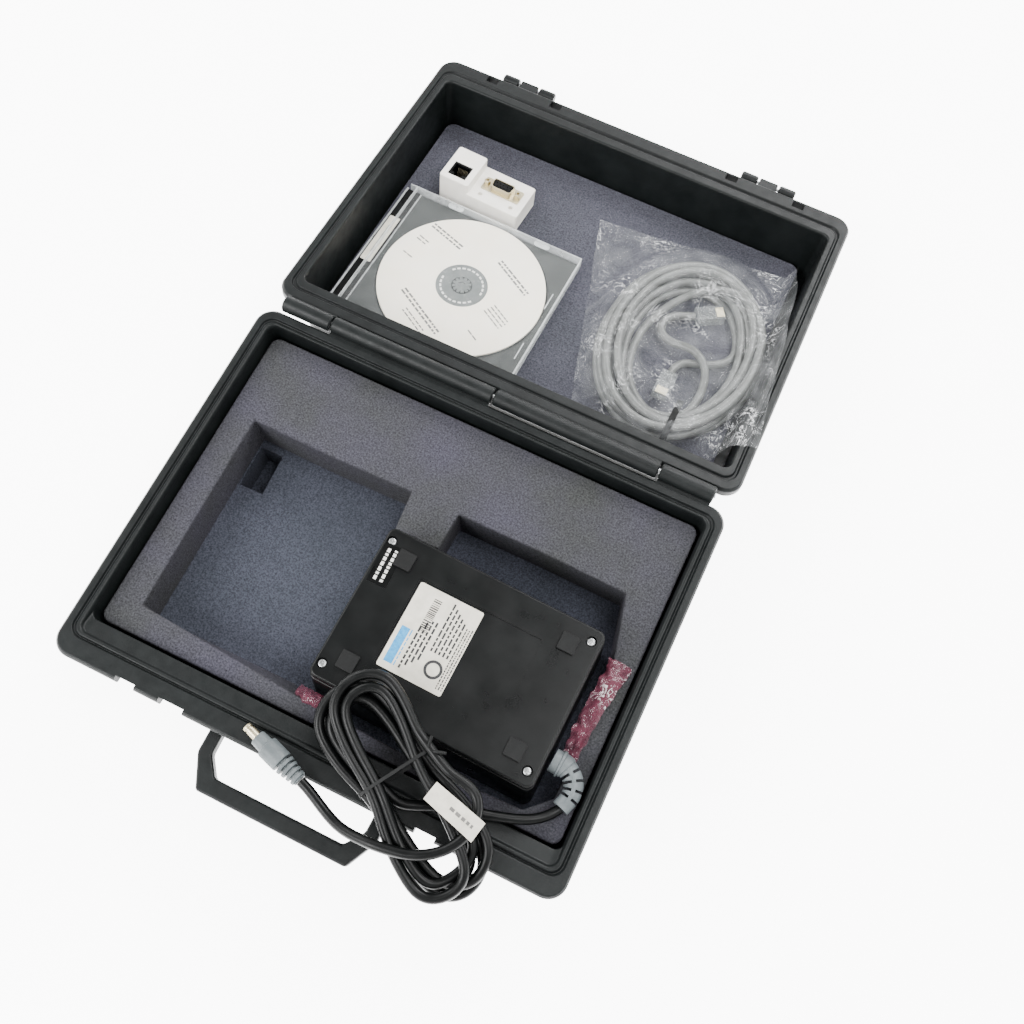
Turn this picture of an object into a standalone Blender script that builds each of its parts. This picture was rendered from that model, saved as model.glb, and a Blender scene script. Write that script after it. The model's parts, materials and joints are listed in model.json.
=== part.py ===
"""Open hard case with a power unit, its coiled lead, a disc case, an adapter and a bagged cable.

Every size is in millimetres and is scaled to metres when a mesh is placed. The row frame has its
origin under the centre of the base, +Y towards the hinge and +Z up. What lies in the lid is drawn
in the lid's own frame: origin on the hinge axis, +Y away from the base, +Z out of the open lid.
"""
import math

import bmesh
import bpy
from mathutils import Matrix, Vector

MM = 0.001
GAP = 0.3                      # clearance between touching pieces

# Case
CASE_W = 330.0
CASE_D = 253.0
BASE_H = 82.0
LID_H = 48.9
CORNER_R = 12.0
HINGE_GAP = 6.3                # from the hinge axis to either half's edge
KNUCKLE_R = 5.6
PIN_R = 1.5
BORE_R = 1.9
LID_LEAN = math.radians(8.2)   # the shallow lid leans back until its far edge rests on the table
RIM_Z = BASE_H - 0.4
HINGE_Y = CASE_D / 2 + HINGE_GAP
LATCH_X = 97.5
LATCH_Y = HINGE_GAP + CASE_D + 4.6
LATCH_Z = -4.6
HANDLE_HALF = 58.5
HANDLE_Z = 66.5
HANDLE_PIVOT_Y = -CASE_D / 2 + 8.5
HANDLE_REACH = 41.5

# Foam
FOAM_TOP = 70.0
POCKET_FLOOR = 36.0
LID_FOAM_TOP = -36.0

# Power unit, lying with its underside up
PSU_CENTRE = (54.0, -26.4)
PSU_TURN = math.radians(-1.47)
PSU_L = 142.0
PSU_W = 98.0
PSU_TOP = 92.0
PSU_BOTTOM = POCKET_FLOOR + 0.5
PSU_COVER_H = 6.0
PSU_WALL = 2.6

# Output lead
CORD_R = 3.0
HANK_SLOPE = math.radians(10.8)
HANK_A = (24.0, -84.0)
HANK_B = (98.0, -131.0)
HANK_R = 25.5
HANK_T = 17.0
HANK_REST_Z = 93.8             # underside of the hank over the power unit's edge
HANK_REST_Y = -72.0
LEAD_START = (143.6, -79.2, 78.5)

# Lid contents
DISC_CASE_W = 142.0
DISC_CASE_D = 124.5
DISC_CASE_AT = (-72.8, 90.2)
DISC_CASE_TURN = math.radians(-0.9)
DISC_CASE_H = 10.4
DISC_OFFSET = 5.5
DISC_R = 60.0
ADAPTER_AT = (-88.5, 175.0)
ADAPTER_TURN = math.radians(-2.5)
ADAPTER_L = 64.5
ADAPTER_D = 32.0
ADAPTER_TALL_L = 23.5
ADAPTER_TALL_H = 24.0
ADAPTER_LOW_H = 16.0
COIL_AT = (91.0, 114.5)
COIL_OUTER = (58.5, 78.0)
COIL_INNER = (34.0, 55.0)
COIL_Z = (-34.6, -18.6)
LAN_R = 2.8


def clear_scene():
    for item in list(bpy.data.objects):
        bpy.data.objects.remove(item, do_unlink=True)


def material(name, colour, roughness, metallic=0.0):
    made = bpy.data.materials.new(name)
    made.use_nodes = True
    shader = made.node_tree.nodes["Principled BSDF"]
    shader.inputs["Base Color"].default_value = (*colour, 1.0)
    shader.inputs["Roughness"].default_value = roughness
    shader.inputs["Metallic"].default_value = metallic
    made.diffuse_color = (*colour, 1.0)
    return made


# Outlines and solids

def rounded_rectangle(x0, x1, y0, y1, radius, steps=5):
    corners = ((x1, y1, 0), (x0, y1, 90), (x0, y0, 180), (x1, y0, 270))
    points = []
    for cx, cy, start in corners:
        ax = cx - math.copysign(radius, cx - (x0 + x1) / 2)
        ay = cy - math.copysign(radius, cy - (y0 + y1) / 2)
        for i in range(steps + 1):
            angle = math.radians(start + 90 * i / steps)
            points.append((ax + radius * math.cos(angle), ay + radius * math.sin(angle)))
    return points


def circle(radius, sides, centre=(0.0, 0.0)):
    return ellipse(radius, radius, sides, centre)


def ellipse(rx, ry, sides, centre=(0.0, 0.0)):
    turns = [2 * math.pi * i / sides for i in range(sides)]
    return [(centre[0] + rx * math.cos(t), centre[1] + ry * math.sin(t)) for t in turns]


def stadium(a, b, radius, steps=10):
    run = math.atan2(b[1] - a[1], b[0] - a[0])
    points = []
    for centre, start in ((b, run - math.pi / 2), (a, run + math.pi / 2)):
        for i in range(steps + 1):
            angle = start + math.pi * i / steps
            points.append((centre[0] + radius * math.cos(angle), centre[1] + radius * math.sin(angle)))
    return points


def at_height(outline, z):
    return [(x, y, z) for x, y in outline]


def loft(rings, closed=False):
    """A closed body through rings of equal point count; closed joins the last ring to the first."""
    mesh = bmesh.new()
    rows = [[mesh.verts.new(point) for point in ring] for ring in rings]
    pairs = list(zip(rows, rows[1:]))
    if closed:
        pairs.append((rows[-1], rows[0]))
    else:
        mesh.faces.new(list(reversed(rows[0])))
        mesh.faces.new(rows[-1])
    for low, high in pairs:
        count = len(low)
        for i in range(count):
            j = (i + 1) % count
            mesh.faces.new((low[i], low[j], high[j], high[i]))
    return mesh


def extruded(outline, z0, z1):
    return loft([at_height(outline, z0), at_height(outline, z1)])


def box(x0, x1, y0, y1, z0, z1):
    return extruded([(x0, y0), (x1, y0), (x1, y1), (x0, y1)], z0, z1)


def soft_block(x0, x1, y0, y1, z0, z1, radius, edge, steps=3):
    """A block with rounded upright edges and a small chamfer round its top and bottom."""
    def ring(inset, z):
        return at_height(rounded_rectangle(x0 + inset, x1 - inset, y0 + inset, y1 - inset,
                                           max(radius - inset, 0.05), steps), z)
    return loft([ring(edge, z0), ring(0, z0 + edge), ring(0, z1 - edge), ring(edge, z1)])


def rod(start, end, radius, sides=16, end_radius=None):
    """A round bar between two points."""
    return stepped_rod([start, end], [radius, radius if end_radius is None else end_radius], sides)


def stepped_rod(points, radii, sides=16):
    """Circles of the given radii, square to the run through the points."""
    points = [Vector(p) for p in points]
    rings = []
    for i, point in enumerate(points):
        ahead = points[min(i + 1, len(points) - 1)] - points[max(i - 1, 0)]
        turn = ahead.normalized().to_track_quat("Z", "Y").to_matrix()
        rings.append([point + turn @ Vector((x, y, 0)) for x, y in circle(radii[i], sides)])
    return loft(rings)


def collared(points, radii, sides=16):
    """A stepped rod whose circles all face along the first run, so that steps may be abrupt."""
    points = [Vector(p) for p in points]
    turn = (points[-1] - points[0]).normalized().to_track_quat("Z", "Y").to_matrix()
    rings = [[p + turn @ Vector((x, y, 0)) for x, y in circle(r, sides)] for p, r in zip(points, radii)]
    return loft(rings)


def smooth_route(points, per_span):
    """Points along a Catmull-Rom curve through the given ones."""
    nodes = [Vector(p) for p in points]
    nodes = [2 * nodes[0] - nodes[1]] + nodes + [2 * nodes[-1] - nodes[-2]]
    route = []
    for a, b, c, d in zip(nodes, nodes[1:], nodes[2:], nodes[3:]):
        for i in range(per_span):
            t = i / per_span
            route.append(0.5 * (2 * b + (c - a) * t + (2 * a - 5 * b + 4 * c - d) * t * t
                                + (3 * b - a - 3 * c + d) * t ** 3))
    return route + [nodes[-2]]


# Placing and combining

def place(name, mesh, finish, parent=None, at=(0, 0, 0), turn=(0, 0, 0), sharp=35):
    bmesh.ops.recalc_face_normals(mesh, faces=mesh.faces)
    bmesh.ops.scale(mesh, vec=(MM, MM, MM), verts=mesh.verts)
    data = bpy.data.meshes.new(name)
    mesh.to_mesh(data)
    mesh.free()
    data.shade_smooth()
    data.set_sharp_from_angle(angle=math.radians(sharp))
    data.materials.append(finish)
    return link(bpy.data.objects.new(name, data), parent, at, turn)


def link(item, parent, at, turn):
    bpy.context.collection.objects.link(item)
    item.parent = parent
    item.location = Vector(at) * MM
    item.rotation_euler = turn
    return item


def frame_at(name, parent, at, turn=(0, 0, 0)):
    return link(bpy.data.objects.new(name, None), parent, at, turn)


def combine(target, mesh, operation):
    """Joins or cuts with a hidden solid drawn in the target's own frame."""
    other = place(target.name + "_" + operation.lower(), mesh, target.data.materials[0])
    other.parent = target.parent
    other.location = target.location
    other.rotation_euler = target.rotation_euler
    other.hide_render = True
    other.display_type = "WIRE"
    change = target.modifiers.new(operation.title(), "BOOLEAN")
    change.operation = operation
    change.object = other


def tube(name, points, radius, finish, parent=None):
    data = bpy.data.curves.new(name, "CURVE")
    data.dimensions = "3D"
    data.bevel_depth = radius * MM
    data.bevel_resolution = 2
    data.use_fill_caps = True
    spline = data.splines.new("POLY")
    spline.points.add(len(points) - 1)
    for slot, point in zip(spline.points, points):
        slot.co = (*(Vector(point) * MM), 1.0)
    data.materials.append(finish)
    return link(bpy.data.objects.new(name, data), parent, (0, 0, 0), (0, 0, 0))


# Case

def shell_rings(table, hinge_edge, latch_edge):
    """Rings of (side, hinge, latch) insets, corner radius and height, walked from outside to inside."""
    away = 1 if hinge_edge > latch_edge else -1
    rings = []
    for side, hinge, latch, radius, z in table:
        near = hinge_edge - away * hinge
        far = latch_edge + away * latch
        rings.append(at_height(rounded_rectangle(-CASE_W / 2 + side, CASE_W / 2 - side,
                                                 min(near, far), max(near, far), radius), z))
    return rings


def hinge_knuckle(shell, x0, x1, axis_y, axis_z, towards_wall):
    combine(shell, rod((x0, axis_y, axis_z), (x1, axis_y, axis_z), KNUCKLE_R, 20), "UNION")
    wall = axis_y + towards_wall * (HINGE_GAP + 2.0)
    combine(shell, box(x0, x1, min(axis_y, wall), max(axis_y, wall), axis_z - 5.0, axis_z - 0.6), "UNION")


def hinge_bore(shell, axis_y, axis_z):
    combine(shell, rod((-CASE_W / 2, axis_y, axis_z), (CASE_W / 2, axis_y, axis_z), BORE_R, 12), "DIFFERENCE")


def make_base(plastic, metal):
    top = RIM_Z
    table = (
        (12.0, 12.0, 31.0, 8.0, 0.0), (9.0, 9.0, 28.0, 10.0, 3.0), (7.4, 7.4, 24.0, 10.5, 72.0),
        (0.8, 0.8, 0.8, 11.4, 72.8), (0.0, 0.0, 0.0, CORNER_R, 74.0), (0.0, 0.0, 0.0, CORNER_R, top - 1.6),
        (0.5, 0.5, 0.5, 11.5, top - 0.5), (1.6, 1.6, 1.6, 10.6, top), (5.4, 6.2, 12.4, 8.2, top),
        (5.9, 6.7, 12.9, 7.8, top - 1.7), (7.1, 8.0, 13.8, 7.2, top - 1.7), (7.7, 8.6, 14.2, 6.8, top - 0.2),
        (8.6, 9.6, 15.4, 6.2, top), (10.0, 10.2, 16.4, 5.6, top - 0.4), (10.8, 10.8, 17.4, 5.2, top - 2.2),
        (11.0, 11.0, 26.6, 5.0, top - 4.0), (12.4, 12.4, 28.0, 4.6, 3.2),
    )
    shell = place("base_shell", loft(shell_rings(table, CASE_D / 2, -CASE_D / 2)), plastic)
    for x0, x1 in ((-116.8, -1.3), (114.9, 151.4)):
        hinge_knuckle(shell, x0, x1, HINGE_Y, BASE_H, -1)
    hinge_bore(shell, HINGE_Y, BASE_H)
    front = -CASE_D / 2
    for side in (-1, 1):
        centre = side * LATCH_X
        for x0, x1 in ((centre - 22.5, centre - 9.5), (centre + 6.5, centre + 23.0)):
            combine(shell, box(x0, x1, front - 2, front + 3.2, 60, BASE_H + 2), "DIFFERENCE")
        lug = side * (HANDLE_HALF - 13.5)
        combine(shell, soft_block(lug - 3.6, lug + 3.6, HANDLE_PIVOT_Y - 5, HANDLE_PIVOT_Y + 5,
                                  HANDLE_Z - 5, 74.0, 2.0, 0.6), "UNION")
        combine(shell, rod((lug - 9, HANDLE_PIVOT_Y, HANDLE_Z), (lug + 9, HANDLE_PIVOT_Y, HANDLE_Z), 2.2, 12),
                "DIFFERENCE")
    place("hinge_pin", rod((-153.4, HINGE_Y, BASE_H), (152.2, HINGE_Y, BASE_H), PIN_R, 12), metal)


def make_handle(plastic, metal):
    """A bail of two cranked arms and a bar, drawn flat in its own frame with +Y away from the case."""
    grip = frame_at("handle_frame", None, (0, HANDLE_PIVOT_Y, HANDLE_Z), (0, 0, math.pi))
    half = HANDLE_HALF
    outer = [(half - 8, -4.2), (half, -4.2), (half, 22), (half - 10, HANDLE_REACH)]
    inner = [(half - 8.6, 20), (half - 17, HANDLE_REACH - 10.5)]
    outline = outer + [(-x, y) for x, y in reversed(outer)]
    outline += [(-x, y) for x, y in inner] + list(reversed(inner))
    outline_inset = [(x * 0.994, max(y * 0.985, -2.9)) for x, y in outline]
    rings = [at_height(outline_inset, -4.4), at_height(outline, -3.4), at_height(outline, 3.4),
             at_height(outline_inset, 4.4)]
    place("handle", loft(rings), plastic, grip)
    handle = bpy.data.objects["handle"]
    combine(handle, rod((-half - 2, 0, 0), (half + 2, 0, 0), 2.2, 12), "DIFFERENCE")
    for side, name in ((-1, "handle_pin_left"), (1, "handle_pin_right")):
        a = side * (half - 17.4)
        b = side * (half - 0.4)
        place(name, rod((a, HANDLE_PIVOT_Y, HANDLE_Z), (b, HANDLE_PIVOT_Y, HANDLE_Z), 1.8, 12), metal)


def make_lid(plastic, metal, lid_frame):
    top = -0.4
    table = (
        (14.0, 12.8, 26.0, 8.0, -LID_H), (12.0, 10.8, 23.0, 9.0, -LID_H + 2.4), (9.0, 11.0, 18.6, 10.0, -9.2),
        (0.8, 0.8, 0.8, 11.4, -8.4), (0.0, 0.0, 0.0, CORNER_R, -7.4), (0.0, 0.0, 0.0, CORNER_R, top - 1.6),
        (0.5, 0.5, 0.5, 11.5, top - 0.5), (1.6, 1.6, 1.6, 10.6, top), (5.4, 7.4, 12.0, 8.2, top),
        (5.9, 7.9, 12.5, 7.8, top - 1.7), (7.5, 9.6, 14.6, 7.2, top - 1.7), (8.0, 10.1, 15.1, 6.8, top),
        (11.0, 16.0, 21.2, 5.6, top), (11.8, 16.0, 22.2, 5.2, top - 1.0), (13.4, 16.0, 23.6, 4.6, -LID_H + 3.0),
    )
    shell = place("lid_shell", loft(shell_rings(table, HINGE_GAP, HINGE_GAP + CASE_D)), plastic, lid_frame)
    for x0, x1 in ((-152.8, -118.2), (0.1, 113.5)):
        hinge_knuckle(shell, x0, x1, 0, 0, 1)
    hinge_bore(shell, 0, 0)
    for side in (-1, 1):
        centre = side * LATCH_X
        for slot in (centre - 26.2, centre + 26.2):
            combine(shell, box(slot - 4.5, slot + 4.5, HINGE_GAP + CASE_D - 8.6, HINGE_GAP + CASE_D - 3.0,
                               -12, 3), "DIFFERENCE")
        combine(shell, box(centre - 7, centre + 7, HINGE_GAP + CASE_D - 2, LATCH_Y + 2.6, -8.2, -1.8), "UNION")
        combine(shell, rod((centre - 12, LATCH_Y, LATCH_Z), (centre + 12, LATCH_Y, LATCH_Z), 1.5, 12),
                "DIFFERENCE")
        make_latch(side, centre, plastic, metal, lid_frame)


def make_latch(side, centre, plastic, metal, lid_frame):
    name = "latch_left" if side < 0 else "latch_right"
    pivot = frame_at(name + "_frame", lid_frame, (centre, LATCH_Y, LATCH_Z))
    latch = place(name, soft_block(-21, 21, 0.6, 3.9, -26, -4.9, 1.2, 0.5), plastic, pivot)
    for x0, x1 in ((-21, -8.4), (8.4, 21)):
        combine(latch, rod((x0, 0, 0), (x1, 0, 0), 4.0, 16), "UNION")
        combine(latch, box(x0 + 0.4, x1 - 0.4, 0.8, 3.7, -7, 0), "UNION")
    combine(latch, box(-15, 15, -3.4, 2.0, -25.4, -22.0), "UNION")
    combine(latch, rod((-24, 0, 0), (24, 0, 0), 1.5, 12), "DIFFERENCE")
    place(name + "_pin", rod((centre - 20.6, LATCH_Y, LATCH_Z), (centre + 20.6, LATCH_Y, LATCH_Z), 1.15, 12),
          metal, lid_frame)


# Foam

def make_foam(foam, lid_frame):
    half = CASE_W / 2 - 12.8
    back = CASE_D / 2 - 13.0
    front = -CASE_D / 2 + 28.6
    upper = place("base_foam_upper", extruded(rounded_rectangle(-half, half, front, back, 6.0, 3),
                                              POCKET_FLOOR + GAP, FOAM_TOP), foam)
    rolled_edge = (-34, -86.4)
    pocket = ((-134, 55), (-133, -80), rolled_edge, (-24, -87), (60, -90), (125, -88), (139, -74), (142, -10),
              (136, 18), (127.5, 55), (12.5, 55.5), (11, 29.5), (-19, 29.5), (-21, 56))
    foot = [(-34, -79) if corner == rolled_edge else corner for corner in pocket]
    combine(upper, loft([at_height(foot, POCKET_FLOOR - 4), at_height(foot, POCKET_FLOOR + GAP),
                         at_height(pocket, FOAM_TOP), at_height(pocket, FOAM_TOP + 4)]), "DIFFERENCE")
    lower = place("base_foam_lower", extruded(rounded_rectangle(-half + 0.8, half - 0.8, front + 0.4,
                                                                back - 0.4, 6.0, 3), 3.6, POCKET_FLOOR), foam)
    hole = ((-133.4, 50), (-117.2, 50), (-116.2, 21), (-133.2, 20.5))
    combine(lower, extruded(hole, 12, POCKET_FLOOR + 3), "DIFFERENCE")
    place("lid_foam_sheet", extruded(rounded_rectangle(-148.5, 144.0, 27.0, 233.5, 7.0, 3),
                                     -LID_H + 3.4, LID_FOAM_TOP), foam, lid_frame)


# Power unit

def make_power_unit(black, dark, metal, label, board, copper, grey):
    unit = frame_at("power_unit_frame", None, (*PSU_CENTRE, 0), (0, 0, PSU_TURN))
    half_l = PSU_L / 2
    half_w = PSU_W / 2
    split = PSU_TOP - PSU_COVER_H

    def ring(grow_x, grow_front, grow_back, radius, z):
        return at_height(rounded_rectangle(-half_l - grow_x, half_l + grow_x, -half_w - grow_front,
                                           half_w + grow_back, radius, 4), z)
    wall = PSU_WALL
    case = place("power_unit_case", loft([
        ring(1.0, 3.0, 0.0, 5.0, PSU_BOTTOM), ring(4.0, 6.0, 2.0, 6.0, PSU_BOTTOM + 3),
        ring(1.2, 1.6, 1.0, 5.0, split - GAP),
        ring(1.2 - wall, 1.6 - wall, 1.0 - wall, 3.0, split - GAP),
        ring(1.0 - wall, 2.0 - wall, 0.6 - wall, 3.0, PSU_BOTTOM + wall)]), black, unit)
    cover = place("power_unit_cover", loft([
        ring(1.0, 1.4, 0.8, 5.0, split), ring(0.8, 1.0, 0.6, 5.0, PSU_TOP - 1.2),
        ring(-0.2, -0.2, -0.2, 4.4, PSU_TOP), ]), black, unit)
    combine(cover, box(-41, 40, -29, 29, PSU_TOP - 0.5, PSU_TOP + 2), "DIFFERENCE")
    screw_y = half_w - 7.7
    foot_x = half_l - 17.0
    foot_y = half_w - 15.0
    for index, (sx, sy) in enumerate(((-1, 1), (1, 1), (1, -1), (-1, -1)), 1):
        x = sx * (67.0 if sx < 0 else 65.5)
        y = sy * screw_y
        combine(cover, rod((x, y, PSU_TOP - 2.6), (x, y, PSU_TOP + 2), 3.2, 16), "DIFFERENCE")
        combine(cover, rod((x, y, split - 2), (x, y, PSU_TOP + 2), 1.7, 12), "DIFFERENCE")
        screw = place("power_unit_screw_%d" % index, collared(
            [(x, y, split + 0.4), (x, y, PSU_TOP - 2.3), (x, y, PSU_TOP - 2.3), (x, y, PSU_TOP - 1.0),
             (x, y, PSU_TOP - 0.6)], (1.4, 1.4, 2.8, 2.8, 2.0), 16), metal, unit)
        for turn in (0, 1):
            long, short = (2.2, 0.35) if turn == 0 else (0.35, 2.2)
            combine(screw, box(x - long, x + long, y - short, y + short, PSU_TOP - 1.5, PSU_TOP), "DIFFERENCE")
        x = sx * foot_x
        y = sy * foot_y
        place("power_unit_foot_%d" % index, soft_block(x - 5.5, x + 5.5, y - 5.5, y + 5.5,
                                                       PSU_TOP + 0.3, PSU_TOP + 2.4, 1.0, 0.5), dark, unit)
    place("power_unit_label", box(-39.5, 2.5, -27.5, 27.5, PSU_TOP - 0.2, PSU_TOP + 0.1), label, unit)
    floor = PSU_BOTTOM + wall
    for sx in (-1, 1):
        for sy in (-1, 1):
            post = (sx * 58.0, sy * 38.0)
            combine(case, rod((*post, floor - 1), (*post, floor + 6), 3.0, 12), "UNION")
    deck = floor + 6 + GAP
    place("power_unit_board", box(-64, 64, -43, 43, deck, deck + 1.6), board, unit)
    seat = deck + 1.6 + GAP
    place("transformer", soft_block(-10, 28, -20, 14, seat, seat + 28, 3, 1.5), copper, unit)
    for index, y in enumerate((-24.0, 2.0), 1):
        place("capacitor_%d" % index, rod((-38, y, seat), (-38, y, seat + 30), 10.0, 20), dark, unit)
    heat_sink = place("heat_sink", box(38, 42, -36, 36, seat, seat + 30), metal, unit)
    for step in range(5):
        y = -32 + 16 * step
        combine(heat_sink, box(41, 52, y - 1, y + 1, seat, seat + 30), "UNION")
    inlet = place("mains_inlet", box(-half_l - 3.4, -half_l + 16, -14, 14, seat + 3, seat + 24), dark, unit)
    combine(case, box(-half_l - 9, -half_l + 6, -14.4, 14.4, seat + 2.6, seat + 24.4), "DIFFERENCE")
    combine(inlet, box(-half_l - 9, -half_l + 12, -11, 11, seat + 6, seat + 21), "DIFFERENCE")
    for y, z in ((-6, 12), (6, 12), (0, 16)):
        combine(inlet, box(-half_l - 1, -half_l + 13, y - 0.9, y + 0.9, seat + z - 2.4, seat + z + 2.4), "UNION")
    make_lead(unit, case, grey)


def make_lead(unit, case, grey):
    """The moulded relief turns the lead from the unit's side wall to run along it."""
    z = LEAD_START[2]
    route = smooth_route([(129.6, -56.0, z), (137.5, -56.8, z), (144.2, -61.8, z), (146.4, -69.5, z),
                          (LEAD_START[0] + GAP, LEAD_START[1] + 2 * GAP, z)], 4)
    radii = []
    for i in range(len(route)):
        share = i / (len(route) - 1)
        radii.append(8.4 if share < 0.14 else 6.6 - 1.4 * share)
    place("strain_relief", stepped_rod(route, radii, 16), grey)


def hank_height(y):
    return HANK_REST_Z + (y - HANK_REST_Y) * math.tan(HANK_SLOPE)


def on_hank(x, y, lift=0.0):
    """A point that clears the hank's top face by the given height."""
    return (x, y, hank_height(y) + HANK_T / math.cos(HANK_SLOPE) + lift)


def make_cord(black, grey, metal, paper):
    tube("output_cord", smooth_route([LEAD_START, (140.4, -84.6, 79.4), (131.2, -91.8, 82.4),
                                      (119.0, -96.6, 86.8), (107.4, -100.8, 91.0)], 6), CORD_R, black)
    slab = stadium(HANK_A, HANK_B, HANK_R)
    low = [(x, y, hank_height(y)) for x, y in slab]
    high = [(x, y, hank_height(y) + HANK_T / math.cos(HANK_SLOPE)) for x, y in slab]
    place("cord_hank", loft([low, high]), black)
    plug_end = Vector((7.0, -129.0, 88.6))
    run = Vector((-33.3, 10.4, 0.0)).normalized()
    lift = CORD_R + GAP
    free = [on_hank(64, -90, lift), on_hank(84, -87, lift), on_hank(100, -93, lift), on_hank(105.5, -106, lift),
            on_hank(102, -119, lift), on_hank(93, -129.5, lift), on_hank(78, -137.5, lift), (58, -141.8, 100.2),
            (40, -141.6, 93.2), (26, -137.0, 89.2), plug_end - run * 6, plug_end]
    tube("output_cord_end", smooth_route(free, 5), CORD_R, black)
    make_tie(black)
    make_tag(paper)
    start = plug_end + run * 2 * GAP
    stations = (0, 9, 9, 12, 12, 15, 15, 18, 18, 21, 21, 35)
    radii = (4.2, 4.8, 6.0, 6.0, 4.8, 4.8, 6.2, 6.2, 5.0, 5.0, 6.6, 6.4)
    place("output_plug", collared([start + run * s for s in stations], radii, 16), grey)
    tip = [start + run * s for s in (35 + GAP, 44)]
    barrel = place("output_plug_tip", rod(tip[0], tip[1], 4.2, 16), metal)
    combine(barrel, rod(tip[0] + run * 1.5, tip[1] + run * 2, 3.5, 16), "DIFFERENCE")


def make_tie(black):
    """A flat band round the hank's waist, square to its length."""
    centre = Vector(((HANK_A[0] + HANK_B[0]) / 2 - 9, (HANK_A[1] + HANK_B[1]) / 2 + 6, 0))
    along = Vector((HANK_B[0] - HANK_A[0], HANK_B[1] - HANK_A[1], 0)).normalized()
    across = Vector((-along.y, along.x, 0))
    rings = []
    for offset in (-1.4, 1.4):
        for grow in (0.5, 1.5):
            ring = []
            for side, level in ((-1, -1), (1, -1), (1, 1), (-1, 1)):
                spot = centre + along * offset + across * side * (HANK_R + grow)
                spot.z = hank_height(spot.y) + (HANK_T + grow + 0.3 if level > 0 else -grow)
                ring.append(tuple(spot))
            rings.append(ring)
    rings = [rings[0], rings[1], rings[3], rings[2]]
    place("cord_tie", loft(rings, closed=True), black)


def make_tag(paper):
    above = 2 * CORD_R + 2 * GAP + 0.3
    corners = ((77, -97.5), (110, -105.5), (107.5, -117.5), (74.5, -108.5))
    low = [on_hank(x, y, above) for x, y in corners]
    high = [on_hank(x, y, above + 0.5) for x, y in corners]
    place("cord_tag", loft([low, high]), paper)


def make_film(pink):
    place("film_wad_left", soft_block(-24, -2, -86.4, -80.6, 56, 79, 2.4, 1.5), pink)
    place("film_wad_right", soft_block(132.6, 144.5, -44, 12, FOAM_TOP + 0.4, FOAM_TOP + 10, 4, 2), pink)


# Lid contents

def make_disc_case(clear, dark, silver, white, lid_frame):
    bottom = LID_FOAM_TOP + GAP
    home = frame_at("disc_case_frame", lid_frame, (*DISC_CASE_AT, bottom), (0, 0, DISC_CASE_TURN))
    half_w = DISC_CASE_W / 2
    half_d = DISC_CASE_D / 2
    base = place("disc_case_base", box(-half_w, half_w, -half_d + 1.5, half_d - 1.5, 0, 1.2), clear, home)
    for x0, x1 in ((-half_w, -half_w + 1.2), (half_w - 1.2, half_w)):
        combine(base, box(x0, x1, -half_d + 1.5, half_d - 1.5, 0, 6.6), "UNION")
    tray = place("disc_case_tray", box(-half_w + 12, half_w - 1.6, -half_d + 2.5, half_d - 2.5,
                                       1.2 + GAP, 5.4), dark, home)
    combine(tray, rod((DISC_OFFSET, 0, 3.2), (DISC_OFFSET, 0, 9), DISC_R - 1.0, 48), "DIFFERENCE")
    combine(tray, rod((DISC_OFFSET, 0, 2.4), (DISC_OFFSET, 0, 7.4), 6.6, 24), "UNION")
    rings = [at_height(circle(r, 64, (DISC_OFFSET, 0)), z)
             for r, z in ((DISC_R, 5.7), (DISC_R, 6.9), (7.5, 6.9), (7.5, 5.7))]
    place("disc", loft(rings, closed=True), silver, home)
    place("spine_sticker", box(-half_w + 2.4, -half_w + 10.4, -14, 31, 1.5, 1.9), white, home)
    hinge = frame_at("disc_case_hinge", home, (-half_w + 5.0, 0, 4.7))
    lid = place("disc_case_lid", box(2.5, DISC_CASE_W - 5.0, -half_d, half_d, 4.5, 5.7), clear, hinge)
    for y0, y1 in ((-half_d, -half_d + 0.9), (half_d - 0.9, half_d)):
        combine(lid, box(-2.6, DISC_CASE_W - 5.0, y0, y1, -3.2, 5.7), "UNION")


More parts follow.
